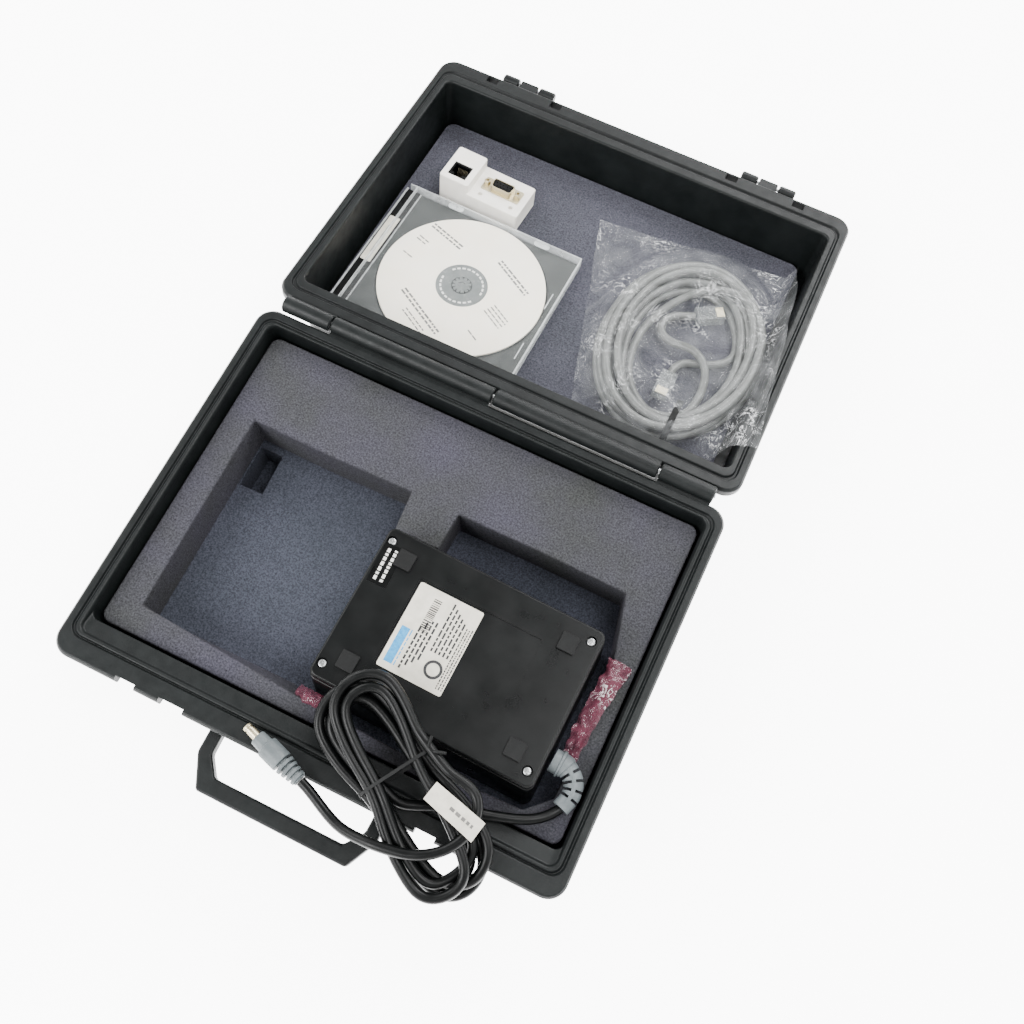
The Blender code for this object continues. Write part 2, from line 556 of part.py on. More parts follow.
def make_adapter(white, black, metal, gold, board, lid_frame):
    bottom = LID_FOAM_TOP + GAP
    home = frame_at("adapter_frame", lid_frame, (*ADAPTER_AT, bottom), (0, 0, ADAPTER_TURN))
    left = -ADAPTER_L / 2
    right = ADAPTER_L / 2
    half_d = ADAPTER_D / 2
    step = left + ADAPTER_TALL_L
    case = place("adapter_case", soft_block(left, right, -half_d, half_d, 2.0, ADAPTER_LOW_H, 2.0, 0.8),
                 white, home)
    combine(case, soft_block(left, step, -half_d, half_d, 2.0, ADAPTER_TALL_H, 2.0, 0.8), "UNION")
    combine(case, box(left + 1.8, right - 1.8, -half_d + 1.8, half_d - 1.8, -2, ADAPTER_LOW_H - 1.8),
            "DIFFERENCE")
    combine(case, box(left + 1.8, step - 1.8, -half_d + 1.8, half_d - 1.8, 5, ADAPTER_TALL_H - 1.8),
            "DIFFERENCE")
    place("adapter_floor", soft_block(left, right, -half_d, half_d, 0, 2.0 - GAP, 2.0, 0.5), white, home)
    place("adapter_board", box(left + 3, right - 3, -half_d + 3, half_d - 3, 3.0, 4.4), board, home)
    jack_x = (left + step) / 2
    jack_y = -5.2
    combine(case, box(jack_x - 8, jack_x + 8, jack_y - 7.4, jack_y + 7.4, 6, ADAPTER_TALL_H + 2), "DIFFERENCE")
    jack = place("network_jack", box(jack_x - 7.7, jack_x + 7.7, jack_y - 7.1, jack_y + 7.1,
                                     4.7, ADAPTER_TALL_H + 0.2), black, home)
    combine(jack, box(jack_x - 6, jack_x + 6, jack_y - 5.4, jack_y + 5.4, 9, ADAPTER_TALL_H + 2), "DIFFERENCE")
    port_x = (step + right) / 2
    port_y = 1.0
    combine(case, box(port_x - 8.6, port_x + 8.6, port_y - 4.8, port_y + 4.8, 6, ADAPTER_LOW_H + 2),
            "DIFFERENCE")
    shell = place("serial_port_shell", loft([
        at_height(rounded_rectangle(port_x - 8.3, port_x + 8.3, port_y - 4.4, port_y + 4.4, 2.0, 3), 9.0),
        at_height(rounded_rectangle(port_x - 8.3, port_x + 8.3, port_y - 4.4, port_y + 4.4, 2.0, 3),
                  ADAPTER_LOW_H + 3.6)]), metal, home)
    combine(shell, soft_block(port_x - 7.6, port_x + 7.6, port_y - 3.7, port_y + 3.7, 6, ADAPTER_LOW_H + 6,
                              1.6, 0.2), "DIFFERENCE")
    place("serial_port_insert", soft_block(port_x - 7.3, port_x + 7.3, port_y - 3.4, port_y + 3.4, 4.7,
                                           ADAPTER_LOW_H + 3.0, 1.4, 0.3), black, home)
    for side, name in ((-1, "jack_screw_left"), (1, "jack_screw_right")):
        x = port_x + side * 12.5
        combine(case, rod((x, port_y, 10), (x, port_y, ADAPTER_LOW_H + 2), 1.7, 12), "DIFFERENCE")
        low = ADAPTER_LOW_H
        place(name, collared([(x, port_y, 8), (x, port_y, low + GAP), (x, port_y, low + GAP),
                              (x, port_y, low + 4.2)], (1.4, 1.4, 2.6, 2.6), 6), gold, home)
        combine(case, rod((x, port_y - 11.2, 13.2), (x, port_y - 11.2, low + 2), 1.9, 14), "DIFFERENCE")


def make_cable(grey, clear, black, lid_frame):
    rings = [at_height(ellipse(*size, 36, COIL_AT), z)
             for size, z in ((COIL_OUTER, COIL_Z[0]), (COIL_OUTER, COIL_Z[1]), (COIL_INNER, COIL_Z[1]),
                             (COIL_INNER, COIL_Z[0]))]
    place("lan_cable_coil", loft(rings, closed=True), grey, lid_frame)
    level = LID_FOAM_TOP + 5.2
    tail = smooth_route([(63.6, 98.0, level), (69.5, 112.0, level), (73.0, 128.0, level), (80.0, 140.0, level),
                         (90.0, 147.5, level)], 5)
    tube("lan_cable_tail", tail, LAN_R, grey, lid_frame)
    plug_home = frame_at("lan_plug_frame", lid_frame, (90.2, 147.7, level), (0, 0, math.radians(33)))
    place("lan_plug", soft_block(0.5, 21.5, -5.8, 5.8, -4.0, 4.0, 0.8, 0.4), clear, plug_home)
    place("lan_plug_far", soft_block(86, 97.6, 72, 93, LID_FOAM_TOP + 1.0, LID_FOAM_TOP + 9.0, 0.8, 0.4),
          clear, lid_frame)
    x = COIL_AT[0] + 16
    rings = []
    for offset in (-2.0, 2.0):
        for grow in (0.3, 0.9):
            y0 = 37.6 - grow
            y1 = 68.4 + grow
            z0 = COIL_Z[0] - grow
            z1 = COIL_Z[1] + grow
            rings.append([(x + offset, y0, z0), (x + offset, y1, z0), (x + offset, y1, z1), (x + offset, y0, z1)])
    rings = [rings[0], rings[1], rings[3], rings[2]]
    place("coil_tie", loft(rings, closed=True), black, lid_frame)
    sheet = ((-1, 190), (140, 222), (149, 165), (150, 62), (44, 34), (26, 94))
    place("cable_bag", extruded(sheet, -17.2, -16.5), clear, lid_frame)


def main():
    clear_scene()
    black = material("case_plastic", (0.035, 0.04, 0.04), 0.55)
    steel = material("steel", (0.55, 0.55, 0.55), 0.35, 1.0)
    foam = material("foam", (0.16, 0.155, 0.19), 0.95)
    unit_black = material("unit_plastic", (0.015, 0.017, 0.018), 0.4)
    rubber = material("rubber", (0.02, 0.02, 0.02), 0.8)
    label = material("label", (0.75, 0.72, 0.63), 0.6)
    board = material("board", (0.03, 0.16, 0.06), 0.5)
    copper = material("winding", (0.45, 0.25, 0.08), 0.5)
    grey = material("grey_moulding", (0.3, 0.33, 0.34), 0.55)
    cord = material("cord", (0.01, 0.011, 0.011), 0.3)
    paper = material("paper", (0.8, 0.79, 0.75), 0.7)
    film = material("pink_film", (0.45, 0.14, 0.2), 0.3)
    clear = material("clear_plastic", (0.65, 0.66, 0.66), 0.1)
    tray = material("tray", (0.2, 0.21, 0.2), 0.3)
    disc = material("disc", (0.8, 0.76, 0.66), 0.4)
    white = material("white_plastic", (0.85, 0.84, 0.82), 0.4)
    gold = material("gold", (0.75, 0.62, 0.35), 0.3, 1.0)
    cable = material("grey_cable", (0.42, 0.42, 0.4), 0.45)

    lid_frame = frame_at("lid_frame", None, (0, HINGE_Y, BASE_H), (-LID_LEAN, 0, 0))
    make_base(black, steel)
    make_handle(black, steel)
    make_lid(black, steel, lid_frame)
    make_foam(foam, lid_frame)
    make_power_unit(unit_black, rubber, steel, label, board, copper, grey)
    make_cord(cord, grey, steel, paper)
    make_film(film)
    make_disc_case(clear, tray, disc, paper, lid_frame)
    make_adapter(white, unit_black, steel, gold, board, lid_frame)
    make_cable(cable, clear, rubber, lid_frame)


main()
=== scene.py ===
"""Looks of an open hard case with its foam, a power unit, a disc, an adapter and a bagged network cable.

Sizes are in millimetres. The base, its contents and the cords are drawn in the case's frame, and what
lies in the lid is drawn in the lid's own frame: origin on the hinge axis, +Y away from the base, +Z out.
"""
import json
import math
import random

import bmesh
import bpy
from mathutils import Euler, Matrix, Vector, noise

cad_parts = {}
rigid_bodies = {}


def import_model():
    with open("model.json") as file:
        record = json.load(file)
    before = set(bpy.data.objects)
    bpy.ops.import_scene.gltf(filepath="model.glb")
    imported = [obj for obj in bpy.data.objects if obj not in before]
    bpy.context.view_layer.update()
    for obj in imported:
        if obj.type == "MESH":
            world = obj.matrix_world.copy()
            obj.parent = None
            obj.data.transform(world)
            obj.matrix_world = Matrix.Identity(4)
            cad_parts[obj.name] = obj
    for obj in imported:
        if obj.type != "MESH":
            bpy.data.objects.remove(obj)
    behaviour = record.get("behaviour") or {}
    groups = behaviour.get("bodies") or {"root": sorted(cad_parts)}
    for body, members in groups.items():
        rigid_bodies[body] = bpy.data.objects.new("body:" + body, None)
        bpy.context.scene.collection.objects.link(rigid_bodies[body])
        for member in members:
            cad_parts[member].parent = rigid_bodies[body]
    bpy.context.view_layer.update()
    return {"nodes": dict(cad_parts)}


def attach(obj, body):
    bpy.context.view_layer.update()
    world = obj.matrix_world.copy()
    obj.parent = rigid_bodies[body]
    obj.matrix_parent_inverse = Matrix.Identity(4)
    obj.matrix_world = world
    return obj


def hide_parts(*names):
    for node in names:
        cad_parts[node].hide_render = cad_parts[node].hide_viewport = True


MM = 0.001

# Case, as the CAD has it
CASE_W = 330.0
CASE_D = 253.0
BASE_H = 82.0
RIM_Z = BASE_H - 0.4
LID_H = 48.9
LID_RIM = -0.4
CORNER_R = 12.0
HINGE_GAP = 6.3
HINGE_Y = CASE_D / 2 + HINGE_GAP
KNUCKLE_R = 5.6
GROOVE = 1.7
LID_LEAN = math.radians(8.2)
LATCH_X = 97.5
LATCH_Y = HINGE_GAP + CASE_D + 4.6
LATCH_Z = -4.6
HANDLE_HALF = 58.5
HANDLE_Z = 66.5
HANDLE_PIVOT_Y = -CASE_D / 2 + 8.5
HANDLE_REACH = 41.5

# Foam
FOAM_TOP = 70.0
POCKET_FLOOR = 36.0
LID_FOAM_TOP = -36.0

# Power unit
PSU_CENTRE = (54.0, -26.4)
PSU_TURN = math.radians(-1.47)
PSU_L = 142.0
PSU_W = 98.0
PSU_TOP = 92.0
PSU_BOTTOM = POCKET_FLOOR + 0.5
PSU_SPLIT = PSU_TOP - 6.0

# Output lead
CORD_R = 3.0
HANK_SLOPE = math.radians(10.8)
HANK_A = (24.0, -84.0)
HANK_B = (98.0, -131.0)
HANK_REST_Z = 93.8
HANK_REST_Y = -72.0
LEAD_START = (143.6, -79.2, 78.5)
PLUG_END = (7.0, -129.0, 88.6)
PLUG_RUN = (-33.3, 10.4, 0.0)

# Lid contents
DISC_CASE_W = 142.0
DISC_CASE_D = 124.5
DISC_CASE_AT = (-72.8, 90.2)
DISC_CASE_TURN = math.radians(-0.9)
DISC_OFFSET = 5.5
DISC_R = 60.0
ADAPTER_AT = (-88.5, 175.0)
ADAPTER_TURN = math.radians(-2.5)
ADAPTER_L = 64.5
ADAPTER_D = 32.0
ADAPTER_TALL_L = 23.5
ADAPTER_TALL_H = 24.0
ADAPTER_LOW_H = 16.0
COIL_AT = (91.0, 114.5)
COIL_FLOOR = -34.6
LAN_R = 2.8

# Homes of the pieces, in millimetres
WORLD = Matrix.Identity(4)
LID = Matrix.Translation((0, HINGE_Y, BASE_H)) @ Matrix.Rotation(-LID_LEAN, 4, "X")
UNIT = Matrix.Translation((*PSU_CENTRE, 0)) @ Matrix.Rotation(PSU_TURN, 4, "Z")
DISC_BOX = (LID @ Matrix.Translation((*DISC_CASE_AT, LID_FOAM_TOP + 0.3))
            @ Matrix.Rotation(DISC_CASE_TURN, 4, "Z"))
ADAPTER = LID @ Matrix.Translation((*ADAPTER_AT, LID_FOAM_TOP + 0.3)) @ Matrix.Rotation(ADAPTER_TURN, 4, "Z")


# Materials

def tone(red, green, blue):
    """A screen colour, 0 to 255, as linear light."""
    def linear(value):
        value /= 255
        return value / 12.92 if value <= 0.04045 else ((value + 0.055) / 1.055) ** 2.4
    return (linear(red), linear(green), linear(blue), 1.0)


class Finish:
    """A Principled material in Object coordinates, to which procedural detail is added."""

    def __init__(self, name, roughness=0.5, **sockets):
        self.material = bpy.data.materials.new(name)
        self.material.use_nodes = True
        self.nodes = self.material.node_tree.nodes
        self.links = self.material.node_tree.links
        self.shader = self.nodes["Principled BSDF"]
        self.shader.inputs["Roughness"].default_value = roughness
        for socket, value in sockets.items():
            self.shader.inputs[socket.replace("_", " ")].default_value = value
        self.place = self.nodes.new("ShaderNodeTexCoord").outputs["Object"]
        self.last_bump = None

    def noise(self, size, detail=2.0, roughness=0.5, distortion=0.0):
        """Cloudy noise whose blobs are about size millimetres across."""
        node = self.nodes.new("ShaderNodeTexNoise")
        node.inputs["Scale"].default_value = 1000.0 / size
        node.inputs["Detail"].default_value = detail
        node.inputs["Roughness"].default_value = roughness
        node.inputs["Distortion"].default_value = distortion
        self.links.new(self.place, node.inputs["Vector"])
        return node.outputs["Fac"]

    def cells(self, size):
        node = self.nodes.new("ShaderNodeTexVoronoi")
        node.inputs["Scale"].default_value = 1000.0 / size
        self.links.new(self.place, node.inputs["Vector"])
        return node.outputs["Distance"]

    def ramp(self, source, low, high, first, second):
        """Blends two colours as the source goes from low to high."""
        node = self.nodes.new("ShaderNodeValToRGB")
        node.color_ramp.elements[0].position = low
        node.color_ramp.elements[1].position = high
        node.color_ramp.elements[0].color = first
        node.color_ramp.elements[1].color = second
        self.links.new(source, node.inputs["Fac"])
        return node.outputs["Color"]

    def blend(self, share, first, second, mode="MIX"):
        node = self.nodes.new("ShaderNodeMix")
        node.data_type = "RGBA"
        node.blend_type = mode
        for socket, value in ((node.inputs[0], share), (node.inputs[6], first), (node.inputs[7], second)):
            if isinstance(value, (tuple, float)):
                socket.default_value = value
            else:
                self.links.new(value, socket)
        return node.outputs[2]

    def colour(self, source):
        self.links.new(source, self.shader.inputs["Base Color"])
        return self

    def rough(self, source, low, high):
        node = self.nodes.new("ShaderNodeMapRange")
        node.inputs["From Min"].default_value = 0.3
        node.inputs["From Max"].default_value = 0.7
        node.inputs["To Min"].default_value = low
        node.inputs["To Max"].default_value = high
        self.links.new(source, node.inputs["Value"])
        self.links.new(node.outputs["Result"], self.shader.inputs["Roughness"])
        return self

    def bump(self, source, height, strength=1.0):
        """Raises the surface by up to height millimetres."""
        node = self.nodes.new("ShaderNodeBump")
        node.inputs["Distance"].default_value = height * MM
        node.inputs["Strength"].default_value = strength
        self.links.new(source, node.inputs["Height"])
        if self.last_bump:
            self.links.new(self.last_bump, node.inputs["Normal"])
        self.last_bump = node.outputs["Normal"]
        self.links.new(self.last_bump, self.shader.inputs["Normal"])
        return self


def grained(name, dark, light, roughness, grain, depth, patch=18.0, **sockets):
    """Moulded plastic: slow shade changes, a fine grain and uneven gloss."""
    finish = Finish(name, roughness, **sockets)
    patches = finish.noise(patch, 4, 0.6)
    finish.colour(finish.ramp(patches, 0.35, 0.68, dark, light))
    finish.rough(finish.noise(patch * 0.4, 3), roughness - 0.06, roughness + 0.08)
    finish.bump(finish.noise(grain, 2), depth)
    return finish


def foam(name, dark, light, pore_shade):
    """Open-cell foam: pale flecks, and dark spots about a millimetre across painted as the shade in its open
    pores.
    """
    finish = Finish(name, 0.95, Specular_IOR_Level=0.12)
    broad = finish.ramp(finish.noise(55, 3), 0.3, 0.7, dark, light)
    flecks = finish.ramp(finish.noise(1.15, 3, 0.7), 0.36, 0.66, (0.62, 0.62, 0.62, 1), (1.5, 1.5, 1.5, 1))
    # Painted shade: small dark spots where the foam's pores would lie in shadow.
    pore_shading = finish.ramp(finish.cells(5.5), 0.035, 0.11, pore_shade, (1, 1, 1, 1))
    shade = finish.blend(1.0, broad, flecks, "MULTIPLY")
    finish.colour(finish.blend(1.0, shade, pore_shading, "MULTIPLY"))
    finish.bump(finish.noise(1.3, 3, 0.7), 0.45)
    return finish


def metal(name, colour, roughness, scratch=0.8):
    finish = Finish(name, roughness, Metallic=1.0)
    marks = finish.noise(scratch, 3, 0.6)
    finish.colour(finish.ramp(marks, 0.3, 0.7, tuple(c * 0.8 for c in colour[:3]) + (1,), colour))
    finish.rough(marks, roughness - 0.06, roughness + 0.1)
    return finish


def clear(name, tint, alpha_low, alpha_high, roughness, crease):
    """Thin clear plastic whose haze gathers along its creases."""
    finish = Finish(name, roughness, Specular_IOR_Level=0.15, Base_Color=tint)
    node = finish.nodes.new("ShaderNodeMapRange")
    node.inputs["From Min"].default_value = 0.35
    node.inputs["From Max"].default_value = 0.75
    node.inputs["To Min"].default_value = alpha_low
    node.inputs["To Max"].default_value = alpha_high
    finish.links.new(finish.noise(crease, 4, 0.6, 1.2), node.inputs["Value"])
    finish.links.new(node.outputs["Result"], finish.shader.inputs["Alpha"])
    finish.bump(finish.noise(crease * 0.5, 3, 0.55, 0.8), 0.35)
    finish.material.surface_render_method = "BLENDED"
    return finish


def crinkled(name, tint, haze, highlight_alpha, roughness, crease):
    """Clear film: a light haze, and painted highlights, opaque white streaks along its sharpest folds."""
    finish = Finish(name, roughness, Specular_IOR_Level=0.4)
    fold = finish.noise(crease, 3, 0.55, 2.2)
    # A thin line along each sharp fold, where the painted highlights go.
    near = finish.ramp(fold, 0.478, 0.5, (0, 0, 0, 1), (1, 1, 1, 1))
    past = finish.ramp(fold, 0.5, 0.522, (1, 1, 1, 1), (0, 0, 0, 1))
    line = finish.blend(1.0, near, past, "MULTIPLY")
    # Only some stretches of the fold lines carry a painted highlight.
    highlight_patches = finish.ramp(finish.noise(crease * 2.6, 2), 0.5, 0.66, (0, 0, 0, 1), (1, 1, 1, 1))
    line = finish.blend(1.0, line, highlight_patches, "MULTIPLY")
    cloud = finish.ramp(finish.noise(crease * 2.0, 4, 0.6, 1.0), 0.35, 0.72, (haze[0],) * 3 + (1,),
                        (haze[1],) * 3 + (1,))
    # Painted highlight: near white and almost opaque along the fold lines, standing in for light glancing off
    # the folds.
    finish.colour(finish.blend(line, tint, tone(250, 250, 250)))
    finish.links.new(finish.blend(line, cloud, (highlight_alpha,) * 3 + (1,)), finish.shader.inputs["Alpha"])
    finish.bump(finish.noise(crease * 0.6, 3, 0.55, 0.8), 0.4)
    finish.material.surface_render_method = "BLENDED"
    return finish


def make_finishes():
    made = {}

    def keep(key, finish):
        made[key] = finish.material

    keep("case", grained("case_plastic", tone(9, 12, 12), tone(17, 20, 20), 0.44, 0.9, 0.06,
                         Specular_IOR_Level=0.2))
    # The last colour of each foam sets the darkness of its painted pore shade.
    keep("foam_top", foam("foam_upper", tone(51, 52, 52), tone(57, 56, 64), (0.3, 0.3, 0.33, 1)))
    keep("foam_low", foam("foam_lower", tone(49, 52, 59), tone(57, 59, 68), (0.4, 0.4, 0.45, 1)))
    keep("foam_lid", foam("foam_lid", tone(58, 59, 65), tone(66, 66, 74), (0.4, 0.4, 0.45, 1)))
    keep("unit", grained("unit_plastic", tone(5, 6, 6), tone(9, 11, 11), 0.32, 0.6, 0.012, 40.0,
                         Specular_IOR_Level=0.2))
    keep("gloss_black", grained("gloss_black", tone(3, 4, 4), tone(7, 8, 8), 0.3, 0.5, 0.01,
                                Specular_IOR_Level=0.15))
    keep("rubber", grained("rubber", tone(8, 9, 9), tone(15, 16, 16), 0.6, 0.4, 0.04, Specular_IOR_Level=0.2))
    keep("cord", grained("cord_jacket", tone(4, 5, 5), tone(8, 9, 9), 0.34, 0.8, 0.006, 20.0,
                         Specular_IOR_Level=0.16))
    keep("grey", grained("grey_moulding", tone(78, 84, 86), tone(96, 102, 104), 0.45, 0.7, 0.03, 7.0,
                         Specular_IOR_Level=0.3))
    keep("paper", grained("paper", tone(190, 185, 172), tone(208, 203, 190), 0.6, 0.35, 0.015, 6.0))
    keep("ink", grained("ink", tone(20, 20, 22), tone(38, 38, 40), 0.55, 0.3, 0.005, 1.6))
    keep("faint_ink", grained("faint_ink", tone(84, 82, 80), tone(106, 104, 100), 0.55, 0.3, 0.005, 1.6))
    keep("white_ink", grained("white_ink", tone(196, 196, 192), tone(216, 216, 212), 0.55, 0.3, 0.005, 1.6))
    keep("blue_ink", grained("blue_ink", tone(20, 120, 176), tone(52, 150, 200), 0.5, 0.3, 0.005, 1.6))
    keep("board", grained("board", tone(14, 66, 34), tone(22, 88, 46), 0.4, 0.5, 0.02, 4.0))
    keep("winding", grained("winding", tone(150, 96, 34), tone(186, 126, 52), 0.35, 0.5, 0.05, 3.0))
    keep("steel", metal("steel", tone(176, 178, 178), 0.3))
    keep("gold", metal("gold", tone(196, 186, 158), 0.34))
    keep("disc", grained("disc_print", tone(246, 238, 220), tone(250, 245, 232), 0.34, 0.6, 0.004, 30.0))
    keep("hub", grained("disc_hub", tone(88, 93, 92), tone(104, 108, 107), 0.22, 0.6, 0.004, 8.0))
    keep("tray", grained("tray", tone(44, 47, 46), tone(54, 57, 56), 0.35, 0.7, 0.01, 20.0,
                         Specular_IOR_Level=0.2))
    keep("white", grained("white_plastic", tone(226, 222, 214), tone(236, 233, 226), 0.42, 0.5, 0.02, 12.0))
    keep("lan", grained("network_jacket", tone(84, 86, 84), tone(102, 104, 102), 0.34, 0.8, 0.02, 6.0,
                        Specular_IOR_Level=0.35))
    # The bag and the pink film carry painted highlights, white streaks along their folds.
    keep("bag", crinkled("bag_film", tone(200, 203, 205), (0.02, 0.13), 0.8, 0.14, 12.0))
    keep("box", clear("clear_box", tone(214, 218, 218), 0.02, 0.05, 0.05, 40.0))
    # Painted highlight: the box's clear edge pieces are whiter and far more opaque than its faces, standing
    # in for light caught along the clear plastic.
    keep("box_edge_highlight", clear("clear_box_edge_highlight", tone(228, 232, 232), 0.28, 0.5, 0.08, 12.0))
    keep("clear", clear("clear_plug", tone(150, 154, 154), 0.2, 0.45, 0.08, 5.0))
    # The pink film's white fold streaks are painted highlights as well.
    keep("pink", crinkled("pink_film", tone(116, 60, 76), (0.35, 0.7), 0.7, 0.2, 13.0))
    return made


# Outlines and meshes

def rounded(x0, x1, y0, y1, radius, steps=12):
    corners = ((x1, y1, 0), (x0, y1, 90), (x0, y0, 180), (x1, y0, 270))
    points = []
    for cx, cy, start in corners:
        ax = cx - math.copysign(radius, cx - (x0 + x1) / 2)
        ay = cy - math.copysign(radius, cy - (y0 + y1) / 2)
        for i in range(steps + 1):
            angle = math.radians(start + 90 * i / steps)
            points.append((ax + radius * math.cos(angle), ay + radius * math.sin(angle)))
    return points


def ellipse(rx, ry, sides, centre=(0.0, 0.0)):
    turns = [2 * math.pi * i / sides for i in range(sides)]
    return [(centre[0] + rx * math.cos(t), centre[1] + ry * math.sin(t)) for t in turns]


def circle(radius, sides, centre=(0.0, 0.0)):
    return ellipse(radius, radius, sides, centre)


def at_height(outline, z):
    return [(x, y, z) for x, y in outline]


def fillet(rows, size, steps=3):
    """Rounds each inner corner of a run of number tuples."""
    rows = [Vector(row) for row in rows]
    done = [rows[0]]
    for before, here, after in zip(rows, rows[1:], rows[2:]):
        back = before - here
        ahead = after - here
        start = here + back * min(0.45, size / max(back.length, 1e-6))
        end = here + ahead * min(0.45, size / max(ahead.length, 1e-6))
        for i in range(steps + 1):
            t = i / steps
            done.append(start * (1 - t) ** 2 + here * 2 * t * (1 - t) + end * t * t)
    return done + [rows[-1]]


def smooth_route(points, per_span):
    """Points along a Catmull-Rom curve through the given ones."""
    nodes = [Vector(p) for p in points]
    nodes = [2 * nodes[0] - nodes[1]] + nodes + [2 * nodes[-1] - nodes[-2]]
    route = []
    for a, b, c, d in zip(nodes, nodes[1:], nodes[2:], nodes[3:]):
        for i in range(per_span):
            t = i / per_span
            route.append(0.5 * (2 * b + (c - a) * t + (2 * a - 5 * b + 4 * c - d) * t * t
                                + (3 * b - a - 3 * c + d) * t ** 3))
    return route + [nodes[-2]]


def eased(points, spacing=2.0, passes=12):
    """A route in even steps, its tight bends opened out by averaging each point with its neighbours."""
    steps = [points[0]]
    for point in points[1:]:
        while (point - steps[-1]).length >= spacing:
            steps.append(steps[-1] + (point - steps[-1]).normalized() * spacing)
    steps.append(points[-1])
    for _ in range(passes):
        inner = [a * 0.25 + b * 0.5 + c * 0.25 for a, b, c in zip(steps, steps[1:], steps[2:])]
        steps = [steps[0], *inner, steps[-1]]
    return steps


def loft(rings, closed=False, capped=True):
    mesh = bmesh.new()
    rows = [[mesh.verts.new(point) for point in ring] for ring in rings]
    pairs = list(zip(rows, rows[1:]))
    if closed:
        pairs.append((rows[-1], rows[0]))
    elif capped:
        mesh.faces.new(list(reversed(rows[0])))
        mesh.faces.new(rows[-1])
    for low, high in pairs:
        for i in range(len(low)):
            j = (i + 1) % len(low)
            mesh.faces.new((low[i], low[j], high[j], high[i]))
    return mesh


def extruded(outline, z0, z1):
    return loft([at_height(outline, z0), at_height(outline, z1)])


def block(x0, x1, y0, y1, z0, z1):
    return extruded([(x0, y0), (x1, y0), (x1, y1), (x0, y1)], z0, z1)


def soft_block(x0, x1, y0, y1, z0, z1, radius, edge, steps=6):
    """A block with round upright corners and rounded top and bottom edges."""
    rings = []
    for i in range(5):
        angle = math.radians(22.5 * i)
        rings.append((edge * (1 - math.sin(angle)), z0 + edge * (1 - math.cos(angle))))
    rings += [(inset, z1 + z0 - z) for inset, z in reversed(rings)]
    return loft([at_height(rounded(x0 + i, x1 - i, y0 + i, y1 - i, max(radius - i, 0.05), steps), z)
                 for i, z in rings])


def swept(points, radii, sides=20):
    """Circles of the given radii, square to the run of the points."""
    points = [Vector(p) for p in points]
    rings = []
    for i, point in enumerate(points):
        ahead = points[min(i + 1, len(points) - 1)] - points[max(i - 1, 0)]
        turn = ahead.normalized().to_track_quat("Z", "Y").to_matrix()
        rings.append([point + turn @ Vector((x, y, 0)) for x, y in circle(radii[i], sides)])
    return loft(rings)


def turned(start, direction, profile, sides=28):
    """A round piece along a straight axis: profile holds (distance, radius)."""
    start = Vector(start)
    run = Vector(direction).normalized()
    turn = run.to_track_quat("Z", "Y").to_matrix()
    return loft([[start + run * s + turn @ Vector((x, y, 0)) for x, y in circle(r, sides)]
                 for s, r in profile])


def rod(start, end, radius, sides=28, edge=0.4):
    run = Vector(end) - Vector(start)
    length = run.length
    return turned(start, run, ((0, radius - edge), (edge, radius), (length - edge, radius),
                               (length, radius - edge)), sides)


# Pieces


def piece(name, mesh, finish, body, home=WORLD, replaces=(), sharp=38, smooth=True):
    """Makes an object from a mesh in millimetres, in its home's frame, with its finish's usual slot."""
    bmesh.ops.recalc_face_normals(mesh, faces=mesh.faces)
    bmesh.ops.transform(mesh, matrix=Matrix.Scale(MM, 4) @ home, verts=mesh.verts)
    data = bpy.data.meshes.new(name)
    mesh.to_mesh(data)
    mesh.free()
    if smooth:
        data.shade_smooth()
        data.set_sharp_from_angle(angle=math.radians(sharp))
    data.materials.append(FINISH[finish])
    made = bpy.data.objects.new(name, data)
    bpy.context.scene.collection.objects.link(made)
    return register(made, body, replaces)


def register(made, body, replaces=()):
    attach(made, body)
    if replaces:
        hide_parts(*replaces)
    return made


def settle(made):
    """Replaces a piece's mesh by what its modifiers give."""
    seen = made.evaluated_get(bpy.context.evaluated_depsgraph_get())
    data = bpy.data.meshes.new_from_object(seen)
    made.modifiers.clear()
    made.data = data
    return made


def cut(made, cutters, home=WORLD, operation="DIFFERENCE"):
    for mesh in cutters:
        bmesh.ops.recalc_face_normals(mesh, faces=mesh.faces)
        bmesh.ops.transform(mesh, matrix=Matrix.Scale(MM, 4) @ home, verts=mesh.verts)
        data = bpy.data.meshes.new("cutter")
        mesh.to_mesh(data)
        mesh.free()
        cutter = bpy.data.objects.new("cutter", data)
        bpy.context.scene.collection.objects.link(cutter)
        change = made.modifiers.new("cut", "BOOLEAN")
        change.operation = operation
        change.object = cutter
        settle(made)
        bpy.data.objects.remove(cutter, do_unlink=True)
    return made


def soften(made, width, segments=2, angle=40):
    change = made.modifiers.new("edges", "BEVEL")
    change.width = width * MM
    change.segments = segments
    change.limit_method = "ANGLE"
    change.angle_limit = math.radians(angle)
    settle(made)
    made.data.shade_smooth()
    made.data.set_sharp_from_angle(angle=math.radians(50))
    return made


def even_shading():
    """Keeps the flat faces of every mesh piece flat beside their rounded edges."""
    for made in [o for o in bpy.data.objects if o.type == "MESH" and o.name not in FRAME["nodes"]]:
        change = made.modifiers.new("normals", "WEIGHTED_NORMAL")
        change.keep_sharp = True
        settle(made)


def cable(name, points, radius, finish, body, replaces):
    data = bpy.data.curves.new(name, "CURVE")
    data.dimensions = "3D"
    data.bevel_depth = radius * MM
    data.bevel_resolution = 5
    data.use_fill_caps = True
    spline = data.splines.new("POLY")
    spline.points.add(len(points) - 1)
    for slot_point, point in zip(spline.points, points):
        slot_point.co = (*(Vector(point) * MM), 1.0)
    spline.use_smooth = True
    data.materials.append(FINISH[finish])
    made = bpy.data.objects.new(name, data)
    bpy.context.scene.collection.objects.link(made)
    return register(made, body, replaces)


